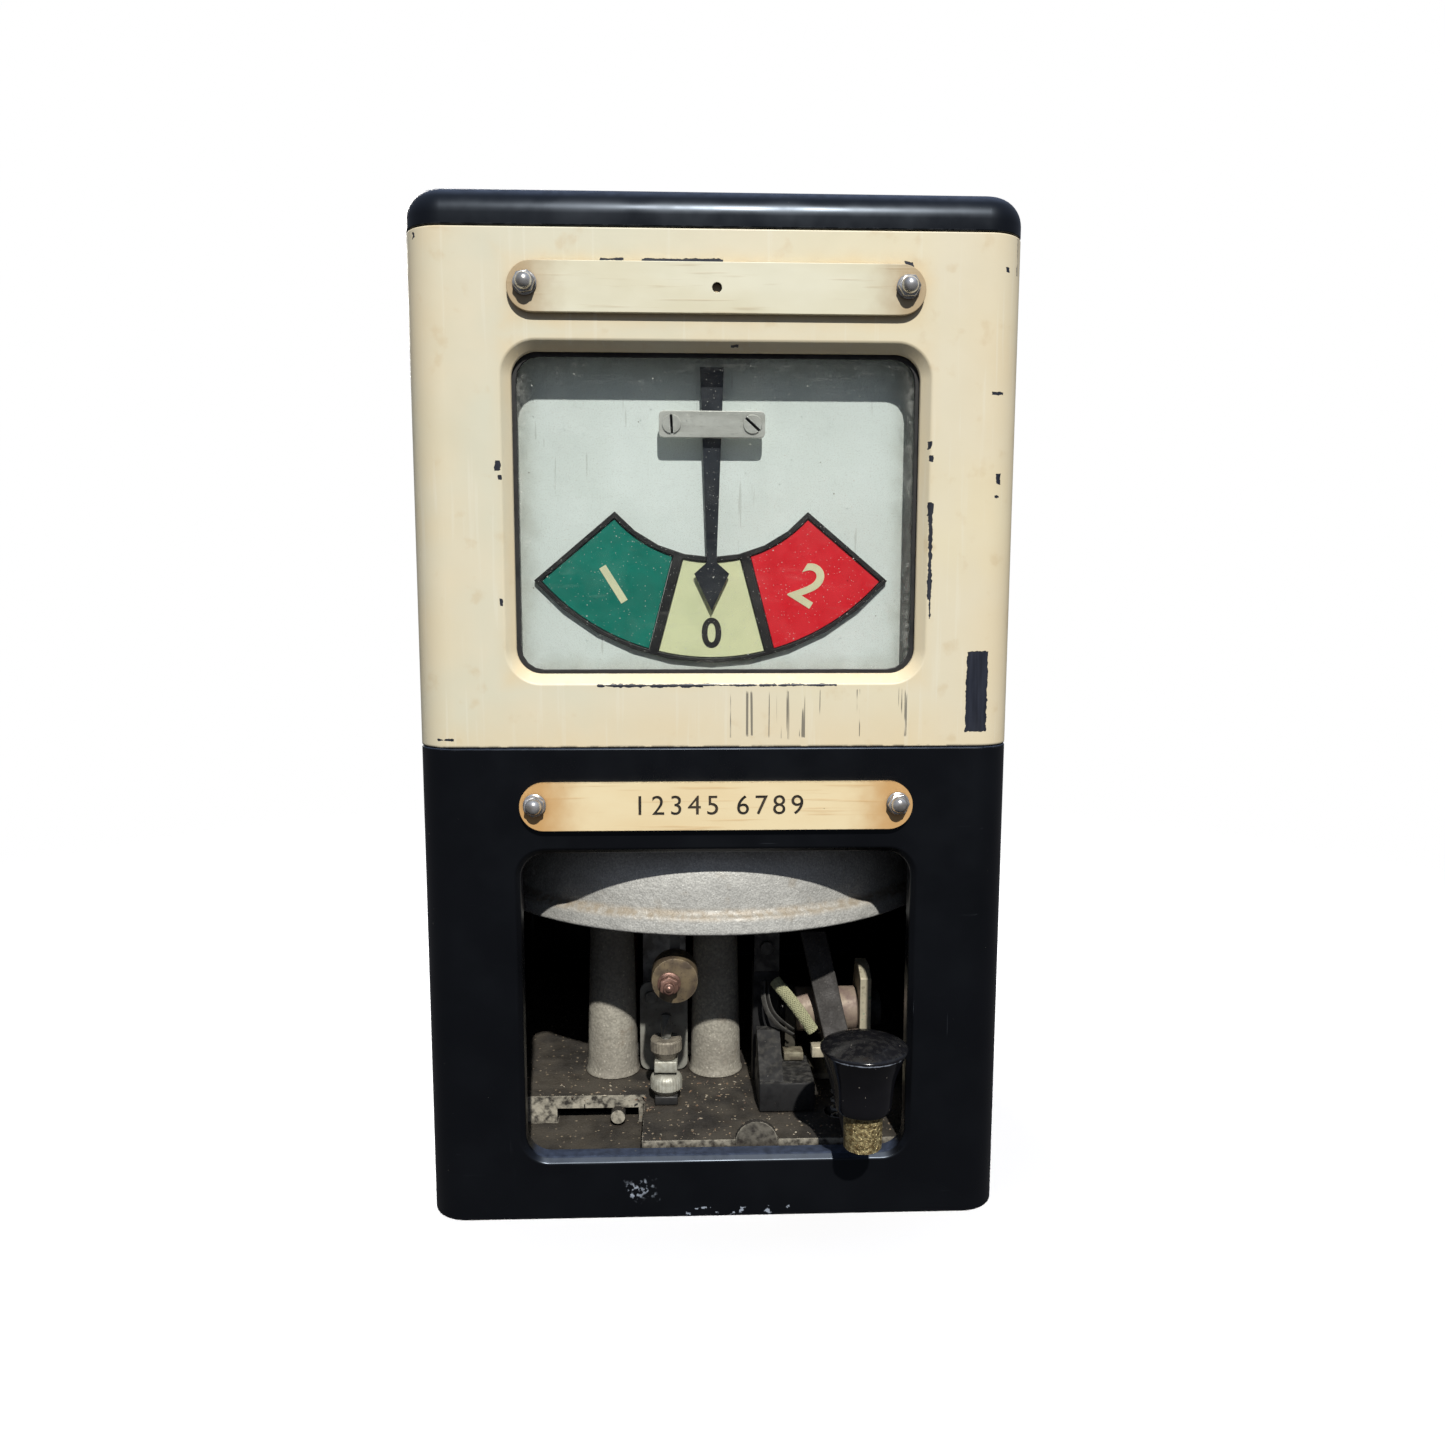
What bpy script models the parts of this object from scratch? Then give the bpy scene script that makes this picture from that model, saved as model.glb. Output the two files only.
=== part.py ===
"""Railway block bell and needle indicator: a needle dial over a single-stroke bell with a tapper key.

Blender 4.5 script. Sizes are in millimetres and the helpers turn them into metres. X is to the right,
depth runs from the front face into the case, and Z is up from the underside of the case.
"""

import math

import bmesh
import bpy
from mathutils import Matrix, Vector

MM = 0.001
GAP = 0.3

# Case
CASE_WIDTH = 216.0
CASE_DEPTH = 222.0
CORNER = 14.0
WALL = 5.0
LOWER_FRONT_WALL = 8.0
UPPER_FRONT_WALL = 5.0
JOINT_HEIGHT = 180.0
CASE_TOP = 359.0
CAP_HEIGHT = 14.0
CAP_ROUND = 10.0
INNER_BACK = CASE_DEPTH - WALL

# Front openings: left, right, bottom, top
LOWER_WINDOW = (-71.5, 71.5, 24.0, 141.0)
UPPER_WINDOW = (-71.5, 71.5, 206.5, 318.5)
WINDOW_CORNER = 9.0
UPPER_CHAMFER = 3.5
LOWER_CHAMFER = 2.0

# Name plates
PLATE_NUT_SPAN = 65.5
UPPER_PLATE = (143.5, 17.0, 339.0)
LOWER_PLATE = (142.0, 17.5, 159.0)
PLATE_THICKNESS = 2.2

# Dial
PIVOT_X = -1.5
PIVOT_Z = 294.5
DIAL_FRONT = 18.0
SECTOR_INNER = 46.2
SECTOR_OUTER = 85.0
SECTOR_HALF_ANGLE = 49.8
DIVIDER_ANGLE = 14.9
BORDER = 1.7

# Bell
GONG_RADIUS = 101.3
GONG_LIP = 107.0
GONG_DEPTH = 110.0

# Base casting: its top, and the ledge over a recess at its front left
FLOOR = 25.5
LEDGE_DEPTH = 50.0
LEDGE_UNDERSIDE = 20.0
RECESS_FLOOR = 13.8

# Hammer
HAMMER_PIVOT = (77.0, 107.0)
HAMMER_X = -15.6
PILLAR_XS = (-43.0, 2.0)
PILLAR_TOP = 96.0
FRAME_X = sum(PILLAR_XS) / 2

# Tapper key
KNOB = (52.6, -16.0)
TAPPER_PIVOT = (70.0, 54.6)
BUSH_RADIUS = 9.4
LEVER_X = 52.0
ARM_LEAN = 0.217
ARM_FOOT = 50.0

BLACK_PAINT = ((0.012, 0.013, 0.016), 0.35, 0.0)
CREAM_PAINT = ((0.72, 0.66, 0.49), 0.5, 0.0)
IVORINE = ((0.74, 0.66, 0.5), 0.45, 0.0)
CHROME = ((0.6, 0.6, 0.6), 0.2, 1.0)
NICKEL = ((0.55, 0.52, 0.46), 0.35, 1.0)
BRASS = ((0.55, 0.42, 0.2), 0.4, 1.0)
STEEL = ((0.3, 0.3, 0.3), 0.45, 1.0)
BELL_METAL = ((0.42, 0.41, 0.38), 0.7, 0.3)
CASTING = ((0.22, 0.21, 0.19), 0.8, 0.1)
BAKELITE = ((0.01, 0.01, 0.012), 0.15, 0.0)
RUBBER = ((0.03, 0.03, 0.03), 0.8, 0.0)
GLASS = ((0.9, 0.95, 0.95), 0.05, 0.0)
DIAL_WHITE = ((0.75, 0.76, 0.74), 0.6, 0.0)
GREEN = ((0.0, 0.19, 0.12), 0.5, 0.0)
SIGNAL_CREAM = ((0.6, 0.58, 0.35), 0.5, 0.0)
RED = ((0.6, 0.02, 0.03), 0.5, 0.0)
COPPER_WIRE = ((0.35, 0.12, 0.05), 0.5, 0.6)
BRAID = ((0.5, 0.5, 0.32), 0.9, 0.0)

AXES = {
    "X": Matrix.Rotation(math.radians(90), 3, "Y"),
    "Y": Matrix.Rotation(math.radians(-90), 3, "X"),
    "Z": Matrix.Identity(3),
}


def clear_scene():
    for old in list(bpy.data.objects):
        bpy.data.objects.remove(old, do_unlink=True)


def new_collection(name):
    group = bpy.data.collections.new(name)
    bpy.context.scene.collection.children.link(group)
    return group


clear_scene()
PARTS = new_collection("block_bell_and_indicator")
CUTTERS = new_collection("cutters")


def at(x, depth, z):
    """World position of a point given in the case's own x, depth and height."""
    return Vector((x, depth - CASE_DEPTH / 2, z)) * MM


def finish_for(name, look):
    colour, roughness, metallic = look
    material = bpy.data.materials.new(name)
    material.use_nodes = True
    shader = material.node_tree.nodes["Principled BSDF"]
    shader.inputs["Base Color"].default_value = (*colour, 1.0)
    shader.inputs["Roughness"].default_value = roughness
    shader.inputs["Metallic"].default_value = metallic
    return material


def add_object(name, mesh, look, place):
    """Puts a mesh in the model at a place, or among the cutters where it has no look."""
    part = bpy.data.objects.new(name, mesh)
    part.location = place
    if look is None:
        CUTTERS.objects.link(part)
        part.hide_render = True
        part.display_type = "WIRE"
    else:
        PARTS.objects.link(part)
        mesh.materials.append(finish_for(name, look))
        mesh.shade_smooth()
        mesh.set_sharp_from_angle(angle=math.radians(35))
    return part


def mesh_from(name, shape):
    mesh = bpy.data.meshes.new(name)
    shape.to_mesh(mesh)
    shape.free()
    return mesh


def box(name, xs, depths, zs, look=None, bevel=0.0):
    """A block between two x, two depths and two heights, its edges bevelled."""
    shape = bmesh.new()
    bmesh.ops.create_cube(shape, size=1.0)
    size = Vector((xs[1] - xs[0], depths[1] - depths[0], zs[1] - zs[0])) * MM
    bmesh.ops.scale(shape, vec=size, verts=shape.verts)
    middle = at(sum(xs) / 2, sum(depths) / 2, sum(zs) / 2)
    part = add_object(name, mesh_from(name, shape), look, middle)
    if bevel:
        edge = part.modifiers.new("rounded_edges", "BEVEL")
        edge.width = bevel * MM
        edge.segments = 2
    return part


def cylinder(name, radius, length, centre, axis="Z", look=None, sides=24):
    """A cylinder about its centre, along one of the axes."""
    shape = bmesh.new()
    bmesh.ops.create_cone(
        shape, cap_ends=True, segments=sides, radius1=radius * MM, radius2=radius * MM, depth=length * MM
    )
    bmesh.ops.rotate(shape, cent=(0, 0, 0), matrix=AXES[axis], verts=shape.verts)
    return add_object(name, mesh_from(name, shape), look, at(*centre))


def turned(name, profile, place, look=None, axis="Z", steps=32):
    """A solid of revolution from (radius, height) points that run down its outer side."""
    points = [Vector((radius, 0, height)) * MM for radius, height in profile]
    mesh = bpy.data.meshes.new(name)
    closed = profile[0][0] > 0
    count = len(points)
    edges = [(i, (i + 1) % count) for i in range(count if closed else count - 1)]
    mesh.from_pydata(points, edges, [])
    part = add_object(name, mesh, look, at(*place))
    part.rotation_euler = AXES[axis].to_euler()
    screw = part.modifiers.new("turned", "SCREW")
    screw.steps = steps
    screw.render_steps = steps
    screw.use_merge_vertices = True
    screw.merge_threshold = 0.00001
    screw.use_smooth_shade = True
    return part


def arc(centre, radius, start, end, count):
    """Points on an arc, its angles in degrees counted from +X."""
    angles = [math.radians(start + (end - start) * i / (count - 1)) for i in range(count)]
    return [(centre[0] + radius * math.cos(a), centre[1] + radius * math.sin(a)) for a in angles]


def rounded_rectangle(left, right, low, high, radius, count=5):
    """The outline of a rectangle with round corners, counter-clockwise."""
    corners = (
        (right - radius, high - radius, 0),
        (left + radius, high - radius, 90),
        (left + radius, low + radius, 180),
        (right - radius, low + radius, 270),
    )
    return [p for x, y, start in corners for p in arc((x, y), radius, start, start + 90, count)]


def polygon(sides, radius, centre=(0.0, 0.0), turn=0.0):
    return arc(centre, radius, turn, turn + 360 * (sides - 1) / sides, sides)


def slab(name, outlines, thickness, place, axis="Z", look=None):
    """A flat plate of the outlines, the later ones being holes, centred on its place along its axis.

    The outline's own directions are X and Y for axis Z, X and Z for axis Y, and depth and Z for axis X.
    """
    curve = bpy.data.curves.new(name, "CURVE")
    curve.dimensions = "2D"
    curve.fill_mode = "BOTH"
    curve.extrude = thickness * MM / 2
    for outline in outlines:
        spline = curve.splines.new("POLY")
        spline.points.add(len(outline) - 1)
        spline.use_cyclic_u = True
        for point, (u, v) in zip(spline.points, outline):
            point.co = (u * MM, v * MM, 0, 1)
    guide = bpy.data.objects.new(name + "_outline", curve)
    CUTTERS.objects.link(guide)
    bpy.context.view_layer.update()
    evaluated = guide.evaluated_get(bpy.context.evaluated_depsgraph_get())
    mesh = bpy.data.meshes.new_from_object(evaluated)
    bpy.data.objects.remove(guide)
    mesh.name = name
    shape = bmesh.new()
    shape.from_mesh(mesh)
    bmesh.ops.remove_doubles(shape, verts=shape.verts, dist=0.000005)
    turns = {
        "Z": Matrix.Identity(3),
        "Y": Matrix.Rotation(math.radians(90), 3, "X"),
        "X": Matrix.Rotation(math.radians(90), 3, "Z") @ Matrix.Rotation(math.radians(90), 3, "X"),
    }
    bmesh.ops.rotate(shape, cent=(0, 0, 0), matrix=turns[axis], verts=shape.verts)
    bmesh.ops.recalc_face_normals(shape, faces=shape.faces)
    shape.to_mesh(mesh)
    shape.free()
    return add_object(name, mesh, look, at(*place))


def loft(name, sections, look=None):
    """A solid through outlines of equal length, each a list of (x, depth, z) points."""
    shape = bmesh.new()
    rings = [[shape.verts.new(at(*point)) for point in section] for section in sections]
    count = len(rings[0])
    for near, far in zip(rings, rings[1:]):
        for i in range(count):
            j = (i + 1) % count
            shape.faces.new((near[i], near[j], far[j], far[i]))
    shape.faces.new(rings[0])
    shape.faces.new(rings[-1])
    bmesh.ops.recalc_face_normals(shape, faces=shape.faces)
    return add_object(name, mesh_from(name, shape), look, Vector((0, 0, 0)))


def combine(part, other, operation):
    change = part.modifiers.new(operation.lower(), "BOOLEAN")
    change.operation = operation
    change.object = other
    change.solver = "EXACT"
    return part


def cut(part, *cutters):
    for cutter in cutters:
        combine(part, cutter, "DIFFERENCE")
    return part


def join(part, *others):
    for other in others:
        combine(part, other, "UNION")
    return part


def helix(name, radius, wire, turns, low, high, place, look):
    """A compression spring standing on its place, its end turns close wound."""
    steps = 9
    total = int(turns * steps)
    curve = bpy.data.curves.new(name, "CURVE")
    curve.dimensions = "3D"
    curve.bevel_depth = wire / 2 * MM
    curve.bevel_resolution = 1
    curve.use_fill_caps = True
    spline = curve.splines.new("POLY")
    spline.points.add(total)
    for i, point in enumerate(spline.points):
        turn = 2 * math.pi * i / steps
        rise = low + (high - low) * i / total
        point.co = (radius * math.cos(turn) * MM, radius * math.sin(turn) * MM, rise * MM, 1)
    return curve_object(name, curve, place, look)


def curve_object(name, curve, place, look):
    part = bpy.data.objects.new(name, curve)
    part.location = at(*place)
    PARTS.objects.link(part)
    curve.materials.append(finish_for(name, look))
    return part


def tube(name, points, diameter, look):
    """A round lead along points given as (x, depth, z)."""
    curve = bpy.data.curves.new(name, "CURVE")
    curve.dimensions = "3D"
    curve.bevel_depth = diameter / 2 * MM
    curve.bevel_resolution = 2
    curve.use_fill_caps = True
    spline = curve.splines.new("POLY")
    spline.points.add(len(points) - 1)
    for point, place in zip(spline.points, points):
        point.co = (*(at(*place)), 1)
    return curve_object(name, curve, (0, CASE_DEPTH / 2, 0), look)


def case_plan(inset=0.0):
    """The case's plan outline in x and depth measured from the middle."""
    half = CASE_WIDTH / 2 - inset
    deep = CASE_DEPTH / 2 - inset
    return rounded_rectangle(-half, half, -deep, deep, CORNER - inset)


def window_cutter(name, window, wall, chamfer, corner):
    """A cutter through the front wall, flared at the front by the chamfer."""
    left, right, low, high = window
    sections = []
    for depth, grow in ((-1, chamfer + 1), (chamfer, 0), (wall + 1, 0)):
        outline = rounded_rectangle(
            left - grow, right + grow, low - grow, high + grow, corner + grow, 6
        )
        sections.append([(x, depth, z) for x, z in outline])
    return loft(name, sections)


def case_shell(name, low, high, floor, window, wall, chamfer, back, look):
    """One storey of the case: open at the top, a window in front and an opening at the back."""
    middle = CASE_DEPTH / 2
    shell = slab(name, [case_plan()], high - low, (0, middle, (low + high) / 2), look=look)
    inner = CASE_WIDTH / 2 - WALL
    plan = rounded_rectangle(-inner, inner, wall - middle, INNER_BACK - middle, CORNER - WALL)
    cavity_low = low + floor if floor else low - 1
    cavity_high = high + 1
    cavity_middle = (cavity_low + cavity_high) / 2
    cavity = slab(name + "_cavity", [plan], cavity_high - cavity_low, (0, middle, cavity_middle))
    cutter = window_cutter(name + "_window", window, wall, chamfer, WINDOW_CORNER)
    left, right, bottom, top = back
    rear = slab(
        name + "_rear",
        [rounded_rectangle(left, right, bottom, top, 8.0)],
        WALL + 4,
        (0, INNER_BACK + WALL / 2, 0),
        "Y",
    )
    return cut(shell, cavity, cutter, rear)


def make_case():
    lower_top = JOINT_HEIGHT - GAP / 2
    upper_foot = JOINT_HEIGHT + GAP / 2
    lower_back = (-84.0, 84.0, 30.0, 165.0)
    upper_back = (-84.0, 84.0, 200.0, 344.0)
    case_shell(
        "lower_case", 0.0, lower_top, 5.0, LOWER_WINDOW, LOWER_FRONT_WALL, LOWER_CHAMFER, lower_back, BLACK_PAINT
    )
    case_shell(
        "upper_case", upper_foot, CASE_TOP, 0.0, UPPER_WINDOW, UPPER_FRONT_WALL, UPPER_CHAMFER, upper_back,
        CREAM_PAINT,
    )
    inner = CASE_WIDTH / 2 - WALL - GAP
    slab(
        "partition_shelf",
        [rounded_rectangle(-inner, inner, -102.4, 105.4, 8.5)],
        3.0,
        (0, CASE_DEPTH / 2, JOINT_HEIGHT + 3.0),
        look=STEEL,
    )


def make_cap():
    sections = []
    base = CASE_TOP + GAP
    straight = CAP_HEIGHT - CAP_ROUND
    steps = 5
    for i in range(-1, steps + 1):
        angle = math.radians(90 * max(i, 0) / steps)
        inset = CAP_ROUND * (1 - math.cos(angle))
        height = base if i < 0 else base + straight + CAP_ROUND * math.sin(angle)
        radius = max(CORNER - inset, 4.0)
        half = CASE_WIDTH / 2 - inset
        deep = CASE_DEPTH / 2 - inset
        outline = rounded_rectangle(-half, half, -deep, deep, radius)
        sections.append([(x, y + CASE_DEPTH / 2, height) for x, y in outline])
    cap = loft("top_cap", sections, BLACK_PAINT)
    hollow = box("top_cap_hollow", (-96, 96), (12, 210), (base - 1, base + 8.5))
    cut(cap, hollow)


def make_rear_covers():
    covers = (("lower_rear_cover", 22.0, 173.0), ("upper_rear_cover", 192.0, 352.0))
    for name, low, high in covers:
        outline = rounded_rectangle(-92.0, 92.0, low, high, 8.0)
        depth = CASE_DEPTH + GAP + 1.0
        cover = slab(name, [outline], 2.0, (0, depth, 0), "Y", BLACK_PAINT)
        middle = (low + high) / 2
        slot_heights = (middle - 0.6, middle + 0.6)
        for x in (-86.0, 86.0):
            head = cylinder(f"{name}_screw_{x}", 4.6, 3.0, (x, depth + 2, middle), "Y", sides=16)
            slot = box(f"{name}_slot_{x}", (x - 6, x + 6), (depth + 2.6, depth + 6), slot_heights)
            cut(join(cover, head), slot)


def acorn_nut(name, x, z, turn):
    """A hexagon nut with a domed end, standing on a name plate."""
    base = -PLATE_THICKNESS - 2 * GAP
    nut = slab(name, [polygon(6, 4.1, turn=turn)], 2.8, (x, base - 1.4, z), "Y", CHROME)
    rise = 3.0
    dome = [(2.9 * math.cos(math.radians(a)), rise * math.sin(math.radians(a))) for a in range(75, -1, -15)]
    profile = [(0, rise), *dome, (2.9, -1.0), (0, -1.0)]
    cap = turned(name + "_dome", profile, (x, base - 2.6, z), None, "Z", 16)
    cap.rotation_euler = (math.radians(90), 0, 0)
    return join(nut, cap)


def make_name_plates():
    for name, (length, height, z) in (("upper_name_plate", UPPER_PLATE), ("lower_name_plate", LOWER_PLATE)):
        round_end = height / 2 - 0.1
        outline = rounded_rectangle(-length / 2, length / 2, -height / 2, height / 2, round_end, 7)
        depth = -PLATE_THICKNESS / 2 - GAP
        slab(name, [outline], PLATE_THICKNESS, (0, depth, z), "Y", IVORINE)
        for side, x, turn in (("left", -PLATE_NUT_SPAN, 10), ("right", PLATE_NUT_SPAN, 0)):
            acorn_nut(f"{name}_nut_{side}", x, z + 0.8, turn)


def make_window():
    left, right, low, high = UPPER_WINDOW
    lip = 1.4
    seat = 4.0
    outer = rounded_rectangle(left - seat, right + seat, low - seat, high + seat, 11.0)
    inner = rounded_rectangle(left + lip, right - lip, low + lip, high - lip, 8.0)
    depth = UPPER_FRONT_WALL
    slab("window_gasket", [outer, inner], 1.2, (0, depth + GAP + 0.6, 0), "Y", RUBBER)
    slab("window_glass", [outer], 1.6, (0, depth + 2 * GAP + 2.0, 0), "Y", GLASS)
    ring_inner = rounded_rectangle(left - 0.5, right + 0.5, low - 0.5, high + 0.5, 8.0)
    slab("glass_retainer", [outer, ring_inner], 1.4, (0, depth + 3 * GAP + 3.5, 0), "Y", STEEL)


def sector_outline(start, end, inner, outer, inset):
    """An annular sector hanging below the pivot, its angles in degrees from straight down."""
    centre = (PIVOT_X, PIVOT_Z)
    outer_trim = math.degrees(inset / outer)
    inner_trim = math.degrees(inset / inner)
    down = 270
    low = arc(centre, outer - inset, down + start + outer_trim, down + end - outer_trim, 11)
    high = arc(centre, inner + inset, down + end - inner_trim, down + start + inner_trim, 9)
    return low + high


def make_dial():
    spindle_hole = polygon(16, 4.0, (PIVOT_X, PIVOT_Z))
    plate = rounded_rectangle(-92.0, 92.0, 192.0, 333.0, 4.0)
    dial = slab("dial_plate", [plate, spindle_hole], 1.5, (0, DIAL_FRONT + 0.75, 0), "Y", DIAL_WHITE)
    edges = (-SECTOR_HALF_ANGLE, -DIVIDER_ANGLE, DIVIDER_ANGLE, SECTOR_HALF_ANGLE)
    names = ("sector_green", "sector_centre", "sector_red")
    looks = (GREEN, SIGNAL_CREAM, RED)
    frame = [sector_outline(edges[0], edges[3], SECTOR_INNER, SECTOR_OUTER, 0.0)]
    for name, look, start, end in zip(names, looks, edges, edges[1:]):
        frame.append(sector_outline(start, end, SECTOR_INNER, SECTOR_OUTER, BORDER))
        tile = sector_outline(start, end, SECTOR_INNER, SECTOR_OUTER, BORDER + GAP)
        slab(name, [tile], 1.2, (0, DIAL_FRONT - GAP - 0.6, 0), "Y", look)
    slab("sector_frame", frame, 2.0, (0, DIAL_FRONT - GAP - 1.0, 0), "Y", BLACK_PAINT)
    for sign in (-1, 1):
        tab = sorted((sign * 90.0, sign * 102.5))
        flange = sorted((sign * 100.5, sign * 102.5))
        join(dial, box(f"dial_tab_{sign}", tab, (DIAL_FRONT + 0.1, DIAL_FRONT + 1.4), (230, 300)))
        join(dial, box(f"dial_flange_{sign}", flange, (DIAL_FRONT + 0.1, DIAL_FRONT + 14), (230, 300)))


def make_needle():
    half_widths = ((315.5, 4.3), (250.0, 1.9), (246.2, 1.9), (242.2, 6.4))
    right = [(PIVOT_X + half, z - PIVOT_Z) for z, half in half_widths]
    left = [(PIVOT_X - half, z - PIVOT_Z) for z, half in reversed(half_widths)]
    outline = [(x - PIVOT_X, z) for x, z in (*right, (PIVOT_X, 228.7 - PIVOT_Z), *left)]
    slab("needle", [outline, polygon(12, 1.3)], 0.8, (PIVOT_X, 14.2, PIVOT_Z), "Y", BLACK_PAINT)
    spindle = cylinder("needle_spindle", 0.9, 49.2, (PIVOT_X, 37.4, PIVOT_Z), "Y", BRASS, 12)
    iron = box("needle_armature", (PIVOT_X - 9, PIVOT_X + 9), (43, 51), (PIVOT_Z - 2.2, PIVOT_Z + 2.2))
    join(spindle, iron)


def make_bearing_bridge():
    """The strap in front of the needle that carries the spindle's front bearing."""
    bar = rounded_rectangle(-19.0, 19.0, -4.7, 4.7, 1.5, 3)
    height = PIVOT_Z + 0.6
    bridge = slab("bearing_bridge", [bar], 2.0, (PIVOT_X, 11.3, height), "Y", NICKEL)
    for side, x in (("left", PIVOT_X - 14.5), ("right", PIVOT_X + 14.5)):
        join(bridge, cylinder(f"bridge_post_{side}", 2.6, 5.9, (x, 14.7, height), "Y", sides=16))
        screw = cylinder(f"bridge_screw_{side}", 3.4, 1.2, (x, 9.4, height), "Y", NICKEL, 20)
        cut(screw, box(f"bridge_slot_{side}", (x - 0.5, x + 0.5), (8, 9.3), (height - 5, height + 5)))


def make_movement():
    """The needle movement behind the dial: two coils and the frame that carries the rear bearing."""
    spool = [
        (0, 20.0), (11.0, 20.0), (11.0, 17.5), (9.6, 17.5),
        (9.6, -17.5), (11.0, -17.5), (11.0, -20.0), (0, -20.0),
    ]
    for side, x in (("left", PIVOT_X - 26.0), ("right", PIVOT_X + 26.0)):
        turned(f"indicator_coil_{side}", spool, (x, 47.0, PIVOT_Z - 4), COPPER_WIRE, "Z", 16)
    frame = box("movement_frame", (PIVOT_X - 44, PIVOT_X + 44), (62, 65), (PIVOT_Z - 32, PIVOT_Z + 22), BRASS)
    for sign in (-1, 1):
        xs = sorted((PIVOT_X + sign * 44.0, PIVOT_X + sign * 40.0))
        join(frame, box(f"movement_side_{sign}", xs, (DIAL_FRONT + 1.8, 64), (PIVOT_Z - 20, PIVOT_Z + 10)))
    cut(frame, cylinder("movement_bearing", 1.3, 10, (PIVOT_X, 63, PIVOT_Z), "Y", sides=12))


def make_base_casting():
    casting = box("base_casting", (-96, 96), (10, 204), (5 + GAP, FLOOR), CASTING)
    recess = box("front_recess", (-97, -28.5), (9, LEDGE_DEPTH), (RECESS_FLOOR, 30))
    undercut = box("ledge_undercut", (-65, -31), (LEDGE_DEPTH - 1, 60), (RECESS_FLOOR, LEDGE_UNDERSIDE))
    hollow = box("under_hollow", (-90, 90), (60, 198), (0, FLOOR - 5.5))
    pocket = cylinder("spring_pocket", 6.6, 11.0, (51.5, 32.8, FLOOR - 2.0), sides=20)
    cut(casting, recess, undercut, hollow, pocket)
    join(casting, cylinder("boss", 8.2, 2.8, (15.8, 11.0, 24.6), "Y", sides=24))
    join(casting, cylinder("ledge_screw", 3.0, 15.0, (-39.5, 53.0, 18.0), "Y", sides=16))


def make_frame():
    foot = FLOOR + GAP
    for side, x in zip(("left", "right"), PILLAR_XS):
        profile = [(0, PILLAR_TOP), (8.8, PILLAR_TOP), (9.5, PILLAR_TOP - 1), (10.9, foot + 5),
                   (11.2, foot + 2), (11.8, foot), (0, foot)]
        turned(f"pillar_{side}", profile, (x, HAMMER_PIVOT[0], 0), CASTING, "Z", 24)
    depth, height = HAMMER_PIVOT
    low = PILLAR_TOP + GAP
    bridge = box("hammer_bridge", (PILLAR_XS[0] - 9, PILLAR_XS[1] + 9), (71, 83), (low, low + 3.7), CASTING, 0.6)
    for sign in (-1, 1):
        xs = sorted((FRAME_X + sign * 8.4, FRAME_X + sign * 12.4))
        ear = [(-5.5, low + 1 - height), (5.5, low + 1 - height), *arc((0, 0), 5.5, 0, 180, 9)]
        join(bridge, slab(f"bridge_ear_{sign}", [ear], 4.0, (sum(xs) / 2, depth, height), "X"))
    join(bridge, box("stop_tongue", (-19.4, -11.8), (58, 73), (low + 0.5, low + 3.2)))
    join(bridge, box("stop_block", (-19.2, -12.0), (58.5, 68), (low + 1, 105.7)))
    cut(bridge, cylinder("pin_bore", 2.3, 40, (FRAME_X, depth, height), "X", sides=16))
    cylinder("hammer_pin", 2.0, 29.0, (FRAME_X, depth, height), "X", STEEL, 16)
    plate = rounded_rectangle(-10.4, 10.4, 0, 40.0, 4.0)
    plate = slab("frame_plate", [plate], 2.0, (FRAME_X - 0.1, 75, foot), "Y", STEEL)
    join(plate, cylinder("frame_plate_screw", 2.6, 2.6, (FRAME_X - 5.6, 73.2, 59.5), "Y", sides=16))


def make_magnet():
    foot = FLOOR + GAP
    depth = 101.5
    for side, x in zip(("left", "right"), PILLAR_XS):
        profile = [
            (0, 94.0), (4.6, 94.0), (4.6, 90.0), (11.4, 90.0), (11.4, 87.0),
            (10.6, 87.0), (10.6, 35.0), (11.4, 35.0), (11.4, 32.0), (0, 32.0),
        ]
        turned(f"bell_coil_{side}", profile, (x, depth, 0), COPPER_WIRE, "Z", 16)
    yoke = box("magnet_yoke", (PILLAR_XS[0] - 10, PILLAR_XS[1] + 10), (90, 111), (foot, 31.7), STEEL)
    join(yoke, box("magnet_plate", (FRAME_X - 9.6, FRAME_X + 9.6), (89.6, 91.6), (foot + 1, 97.5)))


def make_hammer():
    depth, height = HAMMER_PIVOT
    arm = cylinder("hammer_arm", 5.0, 16.0, (FRAME_X, depth, height), "X", STEEL, 20)
    side = (HAMMER_X - 1.9, HAMMER_X + 2.1)
    stud_x, stud_z = -17.8, 84.6
    eye = cylinder("arm_eye", 5.6, 3.2, (stud_x, 35.3, stud_z), "Y", sides=20)
    strip = box("arm_strip", side, (33.7, 36.9), (stud_z, 109.5))
    bar = box("arm_bar", side, (33.7, depth - 3), (106.0, 109.5))
    tail = box("arm_tail", (FRAME_X - 5, FRAME_X + 5), (depth + 3, 100.0), (105.9, 109.3))
    join(arm, eye, strip, bar, tail)
    cut(arm, cylinder("arm_bore", 2.3, 40, (FRAME_X, depth, height), "X", sides=16))
    cut(arm, cylinder("eye_bore", 2.4, 10, (stud_x, 35.3, stud_z), "Y", sides=16))
    head = cylinder("hammer_head", 9.1, 13.0, (HAMMER_X, 26.8, 85.5), "Y", BRASS, 32)
    cut(head, cylinder("head_bore", 2.4, 20, (stud_x, 26.8, stud_z), "Y", sides=16))
    bolt = cylinder("hammer_bolt", 2.1, 25.6, (stud_x, 26.0, stud_z), "Y", COPPER_WIRE, 16)
    join(bolt, slab("hammer_nut", [polygon(6, 4.0, turn=30)], 3.6, (stud_x, 18.1, stud_z), "Y"))
    box("bell_armature", (PILLAR_XS[0] - 9, PILLAR_XS[1] + 9), (91, 110), (101.6, 105.5), STEEL, 0.5)


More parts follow.
